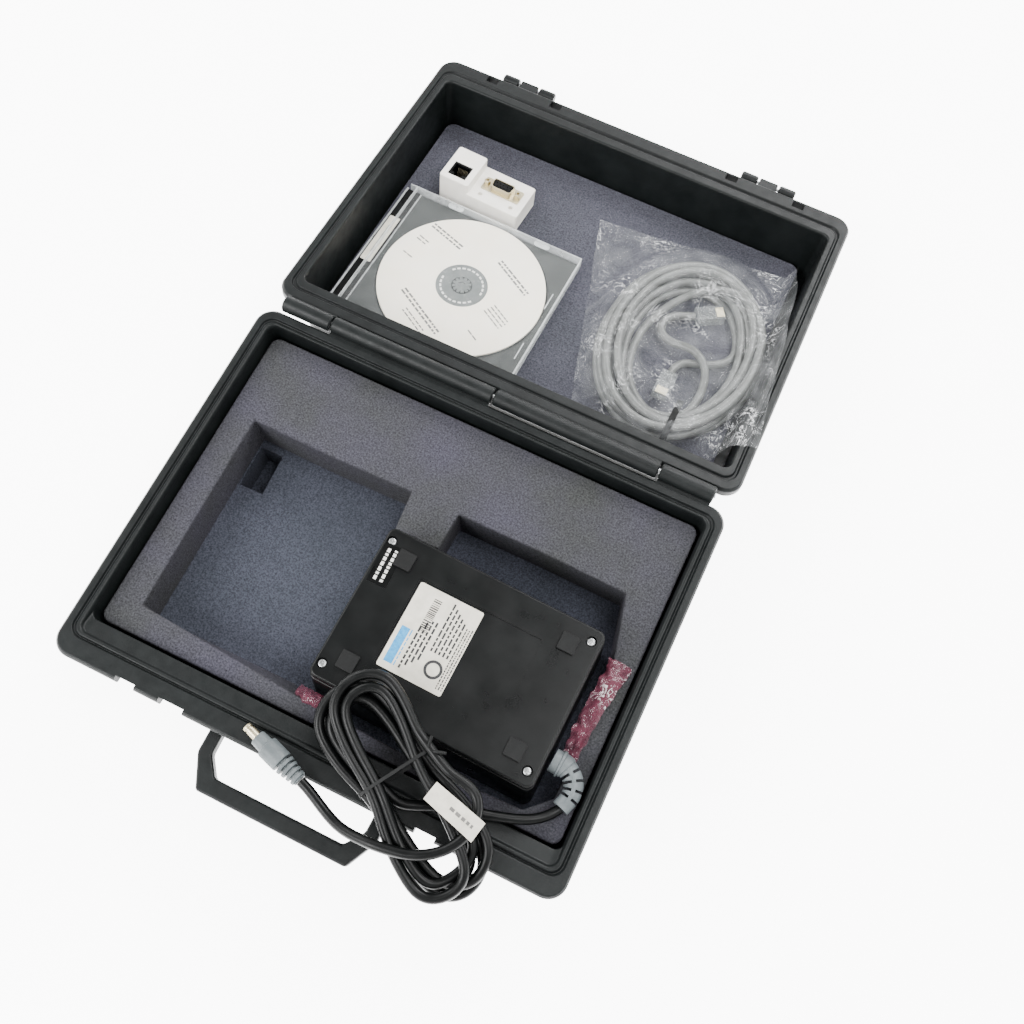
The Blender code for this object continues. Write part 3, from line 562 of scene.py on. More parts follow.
def dress(names, finish):
    """Gives carried-over CAD nodes a finish."""
    for name in names:
        slots = FRAME["nodes"][name].data.materials
        slots.clear()
        slots.append(FINISH[finish])


# Case

def shell_rings(table, hinge_edge, latch_edge, size):
    """Rings of (side, hinge, latch) insets, corner radius and height, from outside to inside."""
    away = 1 if hinge_edge > latch_edge else -1
    rings = []
    for side, hinge, latch, radius, z in fillet(table, size):
        near = hinge_edge - away * hinge
        far = latch_edge + away * latch
        rings.append(at_height(rounded(-CASE_W / 2 + side, CASE_W / 2 - side, min(near, far), max(near, far),
                                       radius, 14), z))
    return rings


def knuckles(prefix, spans, axis_y, axis_z, towards_wall, body, home):
    for index, (x0, x1) in enumerate(spans, 1):
        piece("%s_knuckle_%d" % (prefix, index),
              rod((x0, axis_y, axis_z), (x1, axis_y, axis_z), KNUCKLE_R, 32, 0.7), "case", body, home)
        wall = axis_y + towards_wall * (HINGE_GAP + 2.5)
        y0, y1 = sorted((axis_y, wall))
        piece("%s_web_%d" % (prefix, index), block(x0 + 0.3, x1 - 0.3, y0, y1, axis_z - 5.2, axis_z - 0.6),
              "case", body, home)


def make_base():
    top = RIM_Z
    front = -CASE_D / 2
    table = (
        (12.0, 12.0, 31.0, 8.0, 0.0), (9.0, 9.0, 28.0, 10.0, 3.0), (7.4, 7.4, 24.0, 10.5, 72.0),
        (0.8, 0.8, 0.8, 11.4, 72.8), (0.0, 0.0, 0.0, CORNER_R, 74.0), (0.0, 0.0, 0.0, CORNER_R, top - 1.8),
        (1.6, 1.6, 1.6, 10.6, top), (5.4, 6.2, 12.4, 8.2, top),
        (5.9, 6.7, 12.9, 7.8, top - GROOVE), (7.1, 8.0, 13.8, 7.2, top - GROOVE),
        (7.7, 8.6, 14.2, 6.8, top - 0.2),
        (8.6, 9.6, 15.4, 6.2, top), (10.0, 10.2, 16.4, 5.6, top - 0.4), (10.8, 10.8, 17.4, 5.2, top - 2.2),
        (11.0, 11.0, 26.6, 5.0, top - 4.0), (12.4, 12.4, 28.0, 4.6, 3.2),
    )
    shell = piece("base_moulding", loft(shell_rings(table, CASE_D / 2, front, 0.9)), "case", "base",
                  replaces=("base_shell",))
    notches = []
    for side in (-1, 1):
        centre = side * LATCH_X
        notches.append(block(centre - 22.5, centre - 9.5, front - 2, front + 3.2, 60, BASE_H + 2))
        notches.append(block(centre + 6.5, centre + 23.0, front - 2, front + 3.2, 60, BASE_H + 2))
    cut(shell, notches)
    knuckles("base", ((-116.8, -1.3), (114.9, 151.4)), HINGE_Y, BASE_H, -1, "base", WORLD)
    for side in (-1, 1):
        lug = side * (HANDLE_HALF - 13.5)
        piece("handle_lug_" + ("left" if side < 0 else "right"),
              soft_block(lug - 3.6, lug + 3.6, HANDLE_PIVOT_Y - 5, HANDLE_PIVOT_Y + 5, HANDLE_Z - 5, 73.5,
                         2, 0.6),
              "case", "base")


def make_lid():
    top = LID_RIM
    far = HINGE_GAP + CASE_D
    table = (
        (14.0, 12.8, 26.0, 8.0, -LID_H), (12.0, 10.8, 23.0, 9.0, -LID_H + 2.4), (9.0, 11.0, 18.6, 10.0, -9.2),
        (0.8, 0.8, 0.8, 11.4, -8.4), (0.0, 0.0, 0.0, CORNER_R, -7.4), (0.0, 0.0, 0.0, CORNER_R, top - 1.8),
        (1.6, 1.6, 1.6, 10.6, top), (5.4, 7.4, 12.0, 8.2, top),
        (5.9, 7.9, 12.5, 7.8, top - GROOVE), (7.5, 9.6, 14.6, 7.2, top - GROOVE), (8.0, 10.1, 15.1, 6.8, top),
        (11.0, 16.0, 21.2, 5.6, top), (11.8, 16.0, 22.2, 5.2, top - 1.0),
        (13.4, 16.0, 23.6, 4.6, -LID_H + 3.0),
    )
    shell = piece("lid_moulding", loft(shell_rings(table, HINGE_GAP, far, 0.9)), "case", "lid", LID,
                  replaces=("lid_shell",))
    slots = []
    for side in (-1, 1):
        centre = side * LATCH_X
        for middle in (centre - 26.2, centre + 26.2):
            slots.append(block(middle - 4.5, middle + 4.5, far - 8.6, far - 3.0, -12, 3))
        name = "latch_lug_" + ("left" if side < 0 else "right")
        piece(name, soft_block(centre - 7, centre + 7, far - 2, LATCH_Y + 2.6, -8.2, -1.4, 1.2, 0.8),
              "case", "lid", LID)
    cut(shell, slots, LID)
    knuckles("lid", ((-152.8, -118.2), (0.1, 113.5)), 0, 0, 1, "lid", LID)


def make_latches():
    for side, name in ((-1, "latch_left"), (1, "latch_right")):
        home = LID @ Matrix.Translation((side * LATCH_X, LATCH_Y, LATCH_Z))
        body = "left_latch" if side < 0 else "right_latch"
        plate = piece(name + "_plate", soft_block(-21, 21, 0.6, 3.9, -26, -4.9, 1.4, 0.9), "case", body, home,
                      replaces=(name,))
        cut(plate, [soft_block(-17, 17, 2.9, 6, -20, -9, 2.0, 0.2)], home)
        piece(name + "_hook", soft_block(-15, 15, -3.4, 2.0, -25.4, -22.0, 0.8, 0.8), "case", body, home)
        for index, (x0, x1) in enumerate(((-21, -8.4), (8.4, 21)), 1):
            piece("%s_barrel_%d" % (name, index), rod((x0, 0, 0), (x1, 0, 0), 4.0, 28, 0.9), "case", body,
                  home)
            piece("%s_neck_%d" % (name, index), block(x0 + 0.6, x1 - 0.6, 0.8, 3.7, -7, 0), "case", body,
                  home)


def make_handle():
    """Two cranked arms and a bar, drawn flat and then rounded along every edge."""
    half = HANDLE_HALF
    outer = [(half - 8, -4.2), (half, -4.2), (half, 22), (half - 10, HANDLE_REACH)]
    inner = [(half - 8.6, 20), (half - 17, HANDLE_REACH - 10.5)]
    outline = outer + [(-x, y) for x, y in reversed(outer)]
    outline += [(-x, y) for x, y in inner] + list(reversed(inner))
    home = Matrix.Translation((0, HANDLE_PIVOT_Y, HANDLE_Z)) @ Matrix.Rotation(math.pi, 4, "Z")
    bail = piece("handle_bail", extruded(outline, -4.4, 4.4), "case", "carry_handle", home,
                 replaces=("handle",))
    soften(bail, 1.7, 4, 25)


# Foam

def make_foam():
    half = CASE_W / 2 - 12.8
    back = CASE_D / 2 - 13.0
    front = -CASE_D / 2 + 28.6
    upper = piece("foam_upper", extruded(rounded(-half, half, front, back, 6.0, 6), POCKET_FLOOR + 0.3,
                                         FOAM_TOP),
                  "foam_top", "base", replaces=("base_foam_upper",))
    rolled_edge = (-34, -86.4)
    pocket = ((-134, 55), (-133, -80), rolled_edge, (-24, -87), (60, -90), (125, -88), (139, -74), (142, -10),
              (136, 18), (127.5, 55), (70, 56), (12.5, 55.5), (11, 29.5), (-19, 29.5), (-21, 56), (-78, 54.6))
    foot = [(-34, -79) if corner == rolled_edge else corner for corner in pocket]
    cut(upper, [loft([at_height(foot, POCKET_FLOOR - 4), at_height(foot, POCKET_FLOOR + 0.3),
                      at_height(pocket, FOAM_TOP), at_height(pocket, FOAM_TOP + 4)])])
    soften(upper, 1.3, 3, 45)
    lower = piece("foam_lower", extruded(rounded(-half + 0.8, half - 0.8, front + 0.4, back - 0.4, 6.0, 6),
                                         3.6, POCKET_FLOOR), "foam_low", "base",
                  replaces=("base_foam_lower",))
    hole = ((-133.4, 50), (-117.2, 50), (-116.2, 21), (-133.2, 20.5))
    cut(lower, [extruded(hole, 12, POCKET_FLOOR + 3)])
    sheet = piece("foam_lid_sheet", extruded(rounded(-148.5, 144.0, 27.0, 233.5, 7.0, 8), -LID_H + 3.4,
                                             LID_FOAM_TOP), "foam_lid", "lid", LID,
                  replaces=("lid_foam_sheet",))
    soften(sheet, 0.7, 2, 45)


# Power unit

def unit_ring(grow_x, grow_front, grow_back, radius, z):
    return at_height(rounded(-PSU_L / 2 - grow_x, PSU_L / 2 + grow_x, -PSU_W / 2 - grow_front,
                             PSU_W / 2 + grow_back, radius, 8), z)


def make_power_unit():
    case = piece("unit_case", loft([
        unit_ring(1.0, 3.0, 0.0, 5.0, PSU_BOTTOM), unit_ring(4.0, 6.0, 2.0, 6.0, PSU_BOTTOM + 3),
        unit_ring(1.4, 1.9, 1.2, 5.0, PSU_SPLIT - 0.9), unit_ring(0.9, 1.2, 0.6, 4.6, PSU_SPLIT - 0.4),
        unit_ring(-2.0, -2.0, -2.0, 3.0, PSU_SPLIT - 0.4)]), "unit", "power_unit", UNIT,
        replaces=("power_unit_case",))
    cut(case, [block(-PSU_L / 2 - 9, -PSU_L / 2 + 6, -14.4, 14.4, 49.9, 71.7)], UNIT)
    rows = ((-0.2, -0.2, -0.2, 4.0, PSU_SPLIT), (1.0, 1.4, 0.8, 4.6, PSU_SPLIT),
            (0.9, 1.1, 0.7, 4.6, PSU_TOP - 1.0),
            (-0.2, 0.0, -0.2, 4.0, PSU_TOP), (-6.0, -6.0, -6.0, 2.0, PSU_TOP))
    cover = piece("unit_cover", loft([unit_ring(*row) for row in fillet(rows, 0.7, 4)]), "unit",
                  "power_unit", UNIT,
                  replaces=("power_unit_cover",))
    wells = [soft_block(-41, 40, -29, 29, PSU_TOP - 0.5, PSU_TOP + 2, 1.5, 0.05)]
    for x, y in screw_places():
        wells.append(turned((x, y, PSU_TOP - 2.6), (0, 0, 1), ((0, 3.2), (6, 3.2)), 24))
    cut(cover, wells, UNIT)
    soften(cover, 0.18, 2, 50)
    for index, (x, y) in enumerate(screw_places(), 1):
        make_screw("unit_screw_%d" % index, x, y, "power_unit_screw_%d" % index)
    for index, (sx, sy) in enumerate(((-1, 1), (1, 1), (1, -1), (-1, -1)), 1):
        x = sx * (PSU_L / 2 - 17.0)
        y = sy * (PSU_W / 2 - 15.0)
        piece("unit_foot_%d" % index, soft_block(x - 5.5, x + 5.5, y - 5.5, y + 5.5, PSU_TOP + 0.2,
                                                 PSU_TOP + 2.3,
                                                 0.9, 0.35), "rubber", "power_unit", UNIT,
              replaces=("power_unit_foot_%d" % index,))
    make_unit_label()
    dress(("power_unit_board",), "board")
    dress(("transformer",), "winding")
    dress(("capacitor_1", "capacitor_2", "mains_inlet"), "gloss_black")
    dress(("heat_sink",), "steel")


def screw_places():
    y = PSU_W / 2 - 7.7
    return ((-67.0, y), (65.5, y), (65.5, -y), (-67.0, -y))


def make_screw(name, x, y, node):
    head = piece(name, turned((x, y, PSU_TOP - 2.3), (0, 0, 1),
                              ((0, 2.6), (0.9, 2.8), (1.4, 2.4), (1.7, 1.6)), 24),
                 "steel", "power_unit", UNIT, replaces=(node,))
    arms = [block(x - a, x + a, y - b, y + b, PSU_TOP - 1.4, PSU_TOP + 1)
            for a, b in ((1.7, 0.32), (0.32, 1.7))]
    cut(head, arms, UNIT)


def stripes(name, spans, z, finish, body, home, height=0.04):
    """Printed bars, each (x0, x1, y0, y1), as one thin piece."""
    mesh = bmesh.new()
    for x0, x1, y0, y1 in spans:
        low = [mesh.verts.new((x, y, z)) for x, y in ((x0, y0), (x1, y0), (x1, y1), (x0, y1))]
        high = [mesh.verts.new((v.co.x, v.co.y, z + height)) for v in low]
        mesh.faces.new(list(reversed(low)))
        mesh.faces.new(high)
        for i in range(4):
            mesh.faces.new((low[i], low[(i + 1) % 4], high[(i + 1) % 4], high[i]))
    return piece(name, mesh, finish, body, home, smooth=False)


def text_column(rng, x, width, y0, y1, word=(1.6, 4.6), gap=0.8):
    """Bars that stand for a line of small print running along Y."""
    bars = []
    y = y0
    while y < y1 - 1.0:
        end = min(y + rng.uniform(*word), y1)
        bars.append((x, x + width, y, end))
        y = end + gap
    return bars


def make_unit_label():
    x0, x1, y0, y1 = -39.5, 2.5, -27.5, 27.5
    z = PSU_TOP - 0.3
    piece("unit_label", extruded(rounded(x0, x1, y0, y1, 1.2, 4), PSU_TOP - 0.45, z), "paper", "power_unit",
          UNIT,
          replaces=("power_unit_label",))
    rng = random.Random(4)
    small = []
    for step in range(4):
        small += text_column(rng, x0 + 12.0 + 2.6 * step, 1.3, y0 + 4 + 3 * step, y1 - 22 + 2 * step)
    for step in range(5):
        small += text_column(rng, x0 + 24.0 + 2.6 * step, 1.2, y0 + 21, y1 - 3 - 2 * step)
    for step in range(3):
        small += text_column(rng, x0 + 37.0 + 1.7 * step, 0.8, y0 + 3, y1 - 12, (0.8, 2.2), 0.5)
    stripes("unit_label_print", small, z, "ink", "power_unit", UNIT)
    stripes("unit_label_band", [(x0 + 2.6, x0 + 8.0, y0 + 4, y0 + 27)], z, "blue_ink", "power_unit", UNIT)
    stripes("unit_label_caption", text_column(rng, x0 + 9.0, 0.7, y0 + 4, y0 + 27), z, "blue_ink",
            "power_unit",
            UNIT)
    bars = []
    y = y1 - 26
    while y < y1 - 5:
        step = rng.choice((0.35, 0.55, 0.8))
        bars.append((x0 + 12.0, x0 + 17.0, y, y + step))
        y += step + rng.choice((0.4, 0.6, 0.9))
    stripes("unit_label_code", bars, z, "ink", "power_unit", UNIT)
    ring = [at_height(circle(r, 40, (x0 + 31.0, y0 + 12.0)), z + h) for r, h in
            ((5.6, 0), (5.6, 0.04), (3.9, 0.04), (3.9, 0))]
    piece("unit_label_ring", loft(ring, closed=True), "ink", "power_unit", UNIT)
    seal = Matrix.Translation((-63.0, 26.5, 0)) @ Matrix.Rotation(math.radians(2), 4, "Z")
    piece("unit_seal", extruded(rounded(-6.5, 6.5, -13, 13, 0.8, 3), PSU_TOP + 0.02, PSU_TOP + 0.12),
          "gloss_black", "power_unit", UNIT @ seal)
    lines = [bar for x in (-3.4, 1.0) for bar in text_column(rng, x, 1.9, -10.5, 10.5, (1.4, 2.6), 0.9)]
    stripes("unit_seal_print", lines, PSU_TOP + 0.12, "white_ink", "power_unit", UNIT @ seal)


# Output lead

def hank_height(y):
    return HANK_REST_Z + (y - HANK_REST_Y) * math.tan(HANK_SLOPE)


HANK_MIDDLE = Vector(((HANK_A[0] + HANK_B[0]) / 2, (HANK_A[1] + HANK_B[1]) / 2))
HANK_ALONG = Vector((HANK_B[0] - HANK_A[0], HANK_B[1] - HANK_A[1])).normalized()
HANK_ACROSS = Vector((-HANK_ALONG.y, HANK_ALONG.x))


def on_hank(along, across, up):
    """A point up above the underside of the hank, given along it and across it from its middle."""
    spot = HANK_MIDDLE + HANK_ALONG * along + HANK_ACROSS * across
    return Vector((spot.x, spot.y, hank_height(spot.y) + up / math.cos(HANK_SLOPE)))


def round_ended(length, width, angle):
    """A point of a long loop with straight sides and half-round ends."""
    share = max(-1.0, min(1.0, math.cos(angle) / 0.6))
    slide = math.sin(math.pi / 2 * share)
    return (length - width) * slide + width * math.cos(angle), width * math.sin(angle)


def hank_turns():
    """Five and a half turns in three layers, each pinched at the tie and fanned out at its ends.

    A turn is (half length, half width, turn in degrees, shift along, height)."""
    turns = (
        (58.0, 15.6, 0.0, 0.0, 3.2), (65.0, 22.0, 0.0, 0.0, 3.2), (64.0, 22.4, 6.5, -1.5, 9.2),
        (56.0, 16.0, 6.5, -2.5, 9.2), (60.0, 15.0, -6.0, 1.5, 15.1), (65.5, 21.0, -6.0, 0.0, 15.1),
    )
    start = math.radians(-95)
    whole = 5 * 2 * math.pi + math.radians(165)
    steps = 600
    points = []
    for i in range(steps + 1):
        swept_angle = whole * i / steps
        index = min(int(swept_angle / (2 * math.pi)), len(turns) - 1)
        part = swept_angle / (2 * math.pi) - index
        late = max(0.0, (part - 0.72) / 0.28)
        late = late * late * (3 - 2 * late)
        now = Vector(turns[index])
        then = Vector(turns[min(index + 1, len(turns) - 1)])
        length, width, lean, shift, up = now.lerp(then, late)
        angle = start - swept_angle
        along, across = round_ended(length, width, angle)
        along += shift
        across *= 1 - 0.2 * math.exp(-((along + 4) / 20) ** 2)
        turn = math.radians(lean)
        points.append(on_hank(along * math.cos(turn) - across * math.sin(turn),
                              along * math.sin(turn) + across * math.cos(turn), up))
    return points


def lead_route():
    """Out of the strain relief, under the hank, round its turns and over it to the plug."""
    tip = Vector(PLUG_END)
    run = Vector(PLUG_RUN).normalized()
    under = [LEAD_START, (140.4, -84.6, 79.4), (131.2, -91.8, 81.2), (119.0, -96.6, 82.4),
             (107.4, -100.2, 83.2),
             (95.0, -103.4, 84.2), (83.0, -107.2, 84.7), (72.0, -112.0, 86.4), (62.0, -116.8, 87.4)]
    turns = hank_turns()
    lift = 18.4
    over = [on_hank(9.0, 25.0, lift), on_hank(21.0, 32.0, lift - 1), on_hank(32.0, 29.0, lift),
            on_hank(40.0, 17.0, lift + 1.6), on_hank(40.5, 2.0, lift + 3), on_hank(34.0, -13.0, lift + 3),
            on_hank(22.0, -25.0, lift + 1.5), (58.0, -141.4, 99.6), (40.0, -141.6, 92.8),
            (26.0, -137.0, 89.2),
            tip - run * 6, tip]
    return eased(smooth_route(under, 6) + turns[2:] + smooth_route(over, 7))


def make_lead():
    make_strain_relief()
    pieces = [make_plug(), make_plug_tip(), make_cord_tie(), make_tag()]
    cord = cable("output_lead", lead_route(), CORD_R, "cord", "power_unit",
                 ("output_cord", "cord_hank", "output_cord_end"))


def make_strain_relief():
    """A ribbed boot on the unit's wall, then a tapering bend with windows cut from both its sides."""
    z = LEAD_START[2]
    route = smooth_route([(128.6, -56.0, z), (137.5, -56.8, z), (144.2, -61.8, z), (146.4, -69.5, z),
                          (LEAD_START[0] + 0.3, LEAD_START[1] + 0.6, z)], 16)
    last = len(route) - 1
    radii = []
    for i in range(len(route)):
        share = i / last
        if share < 0.11:
            radius = 7.0
        elif share < 0.16:
            radius = 8.0
        elif share < 0.27:
            radius = 7.0
        else:
            radius = 6.2 - 1.2 * (share - 0.27)
        radii.append(radius)
    boot = piece("relief_boot", swept(route, radii, 32), "grey", "power_unit", replaces=("strain_relief",),
                 sharp=30)
    for index, share in enumerate((0.37, 0.52, 0.67, 0.82)):
        spot = round(share * last)
        ahead = (route[spot + 1] - route[spot - 1]).normalized()
        side = Vector((-ahead.y, ahead.x, 0))
        home = Matrix.Translation(route[spot]) @ Matrix((ahead, side, (0, 0, 1))).transposed().to_4x4()
        cut(boot, [block(-0.85, 0.85, 1.1, 9, -9, 9), block(-0.85, 0.85, -9, -1.1, -9, 9)], home)
    return boot


def make_plug():
    run = Vector(PLUG_RUN).normalized()
    start = Vector(PLUG_END) + run * 0.6
    profile = [(0, 3.5), (0.3, 3.9)]
    for rib in range(4):
        s = 1.0 + 3.3 * rib
        r = 4.7 + 0.45 * rib
        profile += [(s, 3.5), (s + 0.2, r - 0.2), (s + 0.5, r), (s + 2.0, r + 0.1), (s + 2.2, 3.5)]
    profile += [(14.4, 3.6), (14.7, 6.2), (15.2, 6.5), (26.6, 6.6), (27.4, 6.2), (27.8, 5.0), (28.2, 4.9),
                (34.4, 4.7), (34.8, 4.4)]
    body = piece("plug_body", turned(start, run, profile), "grey", "power_unit", replaces=("output_plug",))
    up = Vector((0, 0, 1))
    side = run.cross(up)
    home = Matrix.Translation(start) @ Matrix((run, side, up)).transposed().to_4x4()
    cut(body, [block(14.6, 28.0, 5.2, 9, -9, 9), block(14.6, 28.0, -9, -5.2, -9, 9)], home)
    return body


def make_plug_tip():
    run = Vector(PLUG_RUN).normalized()
    start = Vector(PLUG_END) + run * 35.4
    profile = ((0, 2.6), (0.3, 2.8), (6.0, 2.8), (6.3, 2.3), (7.0, 2.3), (7.3, 2.8), (8.6, 2.8), (9.0, 2.5),
               (9.0, 1.3), (4.0, 1.3))
    return piece("plug_barrel", turned(start, run, profile), "gold", "power_unit",
                 replaces=("output_plug_tip",))


def make_cord_tie():
    """A thin strip pulled tight round the waist of the hank, with its tail twisted at one side."""
    half = 22.0
    low = -0.7
    high = 18.9
    corners = [(-half, low), (half, low), (half + 1.2, 6), (half, 15.5), (half - 6, high), (-half + 6, high),
               (-half - 0.4, 14), (-half - 1.2, 6), (-half, low)]
    path = [on_hank(-9.0, a, h) for a, h in corners]
    rings = []
    for i, point in enumerate(path[:-1]):
        middle = on_hank(-9.0, 0, 9)
        out = (point - middle).normalized() * 0.45
        along = Vector((*HANK_ALONG, 0)) * 0.9
        rings.append([point + along + out, point - along + out, point - along - out, point + along - out])
    tie = piece("tie_strip", loft(rings, closed=True), "rubber", "power_unit", replaces=("cord_tie",))
    start = on_hank(-9.0, 21.0, 17.0)
    for index, (along, across, up) in enumerate(((-14, 27, 20), (-2, 29, 19)), 1):
        end = on_hank(along, across, up)
        piece("tie_tail_%d" % index,
              swept(smooth_route([start, (start + end) / 2 + Vector((0, 0, 1.5)), end], 5),
                                           [0.9] * 11, 8), "rubber", "power_unit")
    return tie


TAG_CORNERS = (Vector((77.0, -97.5)), Vector((110.0, -105.5)), Vector((107.5, -117.5)),
               Vector((74.5, -108.5)))


def tag_height(share):
    """The flag rises from the cord and droops again towards its loose end."""
    return 110.4 + 3.4 * math.sin(math.pi * (0.12 + 0.62 * share)) - 1.6 * share ** 4


def make_tag():
    """A paper flag round the free end of the lead, lifting a little at its loose end."""
    back_left, back_right, front_right, front_left = TAG_CORNERS
    top = []
    for step in range(15):
        share = step / 14
        z = tag_height(share)
        a = back_left.lerp(back_right, share)
        b = front_left.lerp(front_right, share)
        top.append([Vector((*a.lerp(b, v), z + 0.7 * math.sin(math.pi * v)))
                    for v in (0, 0.25, 0.5, 0.75, 1)])
    rings = [row + [p - Vector((0, 0, 0.3)) for p in reversed(row)] for row in top]
    tag = piece("lead_tag", loft(rings), "paper", "power_unit", replaces=("cord_tag",))
    rng = random.Random(6)
    words = []
    x = 0.42
    while x < 0.9:
        words.append((x, min(x + rng.uniform(0.04, 0.1), 0.92)))
        x = words[-1][1] + 0.03
    for index, (u0, u1) in enumerate(words, 1):
        corners = []
        for u, v in ((u0, 0.42), (u1, 0.42), (u1, 0.58), (u0, 0.58)):
            spot = back_left.lerp(back_right, u).lerp(front_left.lerp(front_right, u), v)
            corners.append(Vector((spot.x, spot.y, tag_height(u) + 0.7 * math.sin(math.pi * v) + 0.06)))
        piece("tag_print_%d" % index, loft([[c - Vector((0, 0, 0.03)) for c in corners], corners]),
              "faint_ink",
              "power_unit", smooth=False)
    return tag


# Antistatic film

def crumpled(route, widths, seed, lift):
    """A band of film along a route, creased across and along."""
    rows = []
    count = len(route) - 1
    for i, point in enumerate(route):
        ahead = (route[min(i + 1, count)] - route[max(i - 1, 0)]).normalized()
        side = ahead.cross(Vector((0, 0, 1))).normalized()
        row = []
        for j in range(13):
            v = j / 12 * 2 - 1
            spot = point + side * v * widths[i]
            crease = noise.noise(Vector((spot.x * 0.22, spot.y * 0.22, seed))) * 3.2
            fold = noise.noise(Vector((spot.x * 0.6, spot.y * 0.6, seed + 9))) * 1.5
            row.append(spot + Vector((0, 0, lift * (1 - v * v) + crease + fold)) + side * crease * 0.5)
        rows.append(row)
    mesh = bmesh.new()
    grid = [[mesh.verts.new(p) for p in row] for row in rows]
    for a, b in zip(grid, grid[1:]):
        for i in range(12):
            mesh.faces.new((a[i], a[i + 1], b[i + 1], b[i]))
    return mesh


def make_film():
    route = smooth_route([(141.5, 14, 70.5), (141.0, 4, 74.5), (139.0, -14, 75.5), (137.0, -32, 75.0),
                          (137.0, -46, 72.0), (138.0, -58, 69.0)], 9)
    widths = [7.5 - 3.5 * i / (len(route) - 1) for i in range(len(route))]
    piece("film_right", crumpled(route, widths, 3.0, 1.6), "pink", "base", replaces=("film_wad_right",),
          sharp=60)
    route = smooth_route([(-25, -84.5, 66), (-18, -84.8, 69), (-8, -84.6, 70), (2, -84.4, 66)], 9)
    piece("film_left", crumpled(route, [4.2] * len(route), 7.0, 2.5), "pink", "base",
          replaces=("film_wad_left",), sharp=60)


# Disc in its box

def make_disc_box():
    half_w = DISC_CASE_W / 2
    half_d = DISC_CASE_D / 2
    tray = piece("box_tray", soft_block(-half_w + 12, half_w - 1.6, -half_d + 2.5, half_d - 2.5, 1.5, 5.4,
                                        1, 0.4),
                 "tray", "disc_box", DISC_BOX, replaces=("disc_case_tray",))
    ring = turned((DISC_OFFSET, 0, 3.2), (0, 0, 1), ((0, DISC_R + 0.9), (3, DISC_R + 1.4)), 96)
    cut(tray, [ring], DISC_BOX)
    make_hub()
    rings = [at_height(circle(r, 128, (DISC_OFFSET, 0)), z)
             for r, z in ((DISC_R, 5.75), (DISC_R - 0.15, 6.9), (18.6, 6.9), (18.4, 5.7))]
    piece("disc_face", loft(rings, closed=True), "disc", "disc_box", DISC_BOX, replaces=("disc",))
    rings = [at_height(circle(r, 96, (DISC_OFFSET, 0)), z)
             for r, z in ((18.5, 5.75), (18.5, 6.84), (7.5, 6.84), (7.5, 5.75))]
    piece("disc_inner", loft(rings, closed=True), "hub", "disc_box", DISC_BOX)
    make_disc_print()
    marks = []
    for step in range(26):
        if step % 13 < 11:
            turn = Matrix.Rotation(2 * math.pi * step / 26, 4, "Z")
            marks.append(DISC_BOX @ Matrix.Translation((DISC_OFFSET, 0, 0)) @ turn)
    for index, home in enumerate(marks, 1):
        stripes("hub_mark_%d" % index, [(14.4, 15.8, -1.2, 1.2)], 6.84, "white_ink", "disc_box", home)
    base = piece("box_back", soft_block(-half_w, half_w, -half_d + 1.5, half_d - 1.5, 0, 1.2, 0.8, 0.3),
                 "box",
                 "disc_box", DISC_BOX, replaces=("disc_case_base",))
    # The box's side walls take the painted-highlight edge finish.
    for index, x in enumerate((-half_w + 0.6, half_w - 0.6), 1):
        piece("box_wall_%d" % index, block(x - 0.6, x + 0.6, -half_d + 1.5, half_d - 1.5, 0.6, 6.6),
              "box_edge_highlight",
              "disc_box", DISC_BOX)
    piece("spine_label", extruded(rounded(-half_w + 2.2, -half_w + 10.2, -14, 31, 0.4, 3), 6.62, 6.74),
          "paper",
          "disc_box", DISC_BOX, replaces=("spine_sticker",))
    rng = random.Random(11)
    stripes("spine_print", text_column(rng, -half_w + 5.6, 0.9, -6, 22, (0.8, 2.4), 0.5), 6.74, "faint_ink",
            "disc_box", DISC_BOX)
    piece("spine_floor", soft_block(-half_w + 1.4, -half_w + 11.6, -half_d + 2.5, half_d - 2.5, 1.5, 6.6,
                                    0.6, 0.3),
          "gloss_black", "disc_box", DISC_BOX)
    piece("tray_edge", block(-half_w + 11.8, -half_w + 12.6, -half_d + 2.5, half_d - 2.5, 5.2, 6.4),
          "box_edge_highlight",
          "disc_box", DISC_BOX)
    make_box_lid(half_w, half_d)
    return base


def make_hub():
    """The sprung fingers that hold the disc by its centre hole."""
    fingers = 12
    for index in range(fingers):
        turn = Matrix.Translation((DISC_OFFSET, 0, 0)) @ Matrix.Rotation(2 * math.pi * index / fingers, 4,
                                                                         "Z")
        piece("hub_finger_%d" % (index + 1), soft_block(2.6, 6.9, -1.2, 1.2, 3.2, 7.5, 0.6, 0.35), "hub",
              "disc_box", DISC_BOX @ turn)
    piece("hub_disc", turned((DISC_OFFSET, 0, 3.2), (0, 0, 1), ((0, 3.0), (3.4, 3.0), (3.8, 2.4)), 28), "hub",
          "disc_box", DISC_BOX)


def make_disc_print():
    rng = random.Random(21)
    z = 6.92
    groups = (
        ((-28, 36), -18, 2, 30), ((30, 26), -30, 2, 34), ((36, -8), -30, 4, 18), ((-14, -32), -30, 2, 44),
        ((-14, -42), -30, 2, 24), ((26, -34), -30, 1, 10), ((-46, 6), -16, 1, 9), ((-42, 24), -18, 2, 10),
    )
    for index, ((x, y), angle, lines, length) in enumerate(groups, 1):
        home = DISC_BOX @ Matrix.Translation((DISC_OFFSET + x, y, 0)) @ Matrix.Rotation(
            math.radians(angle - 90), 4, "Z")
        bars = []
        for line in range(lines):
            bars += text_column(rng, 2.9 * line, 1.5 if length > 25 else 1.0, -length / 2, length / 2,
                                (1.6, 4.8), 0.9)
        stripes("disc_print_%d" % index, bars, z, "faint_ink", "disc_box", home, 0.03)


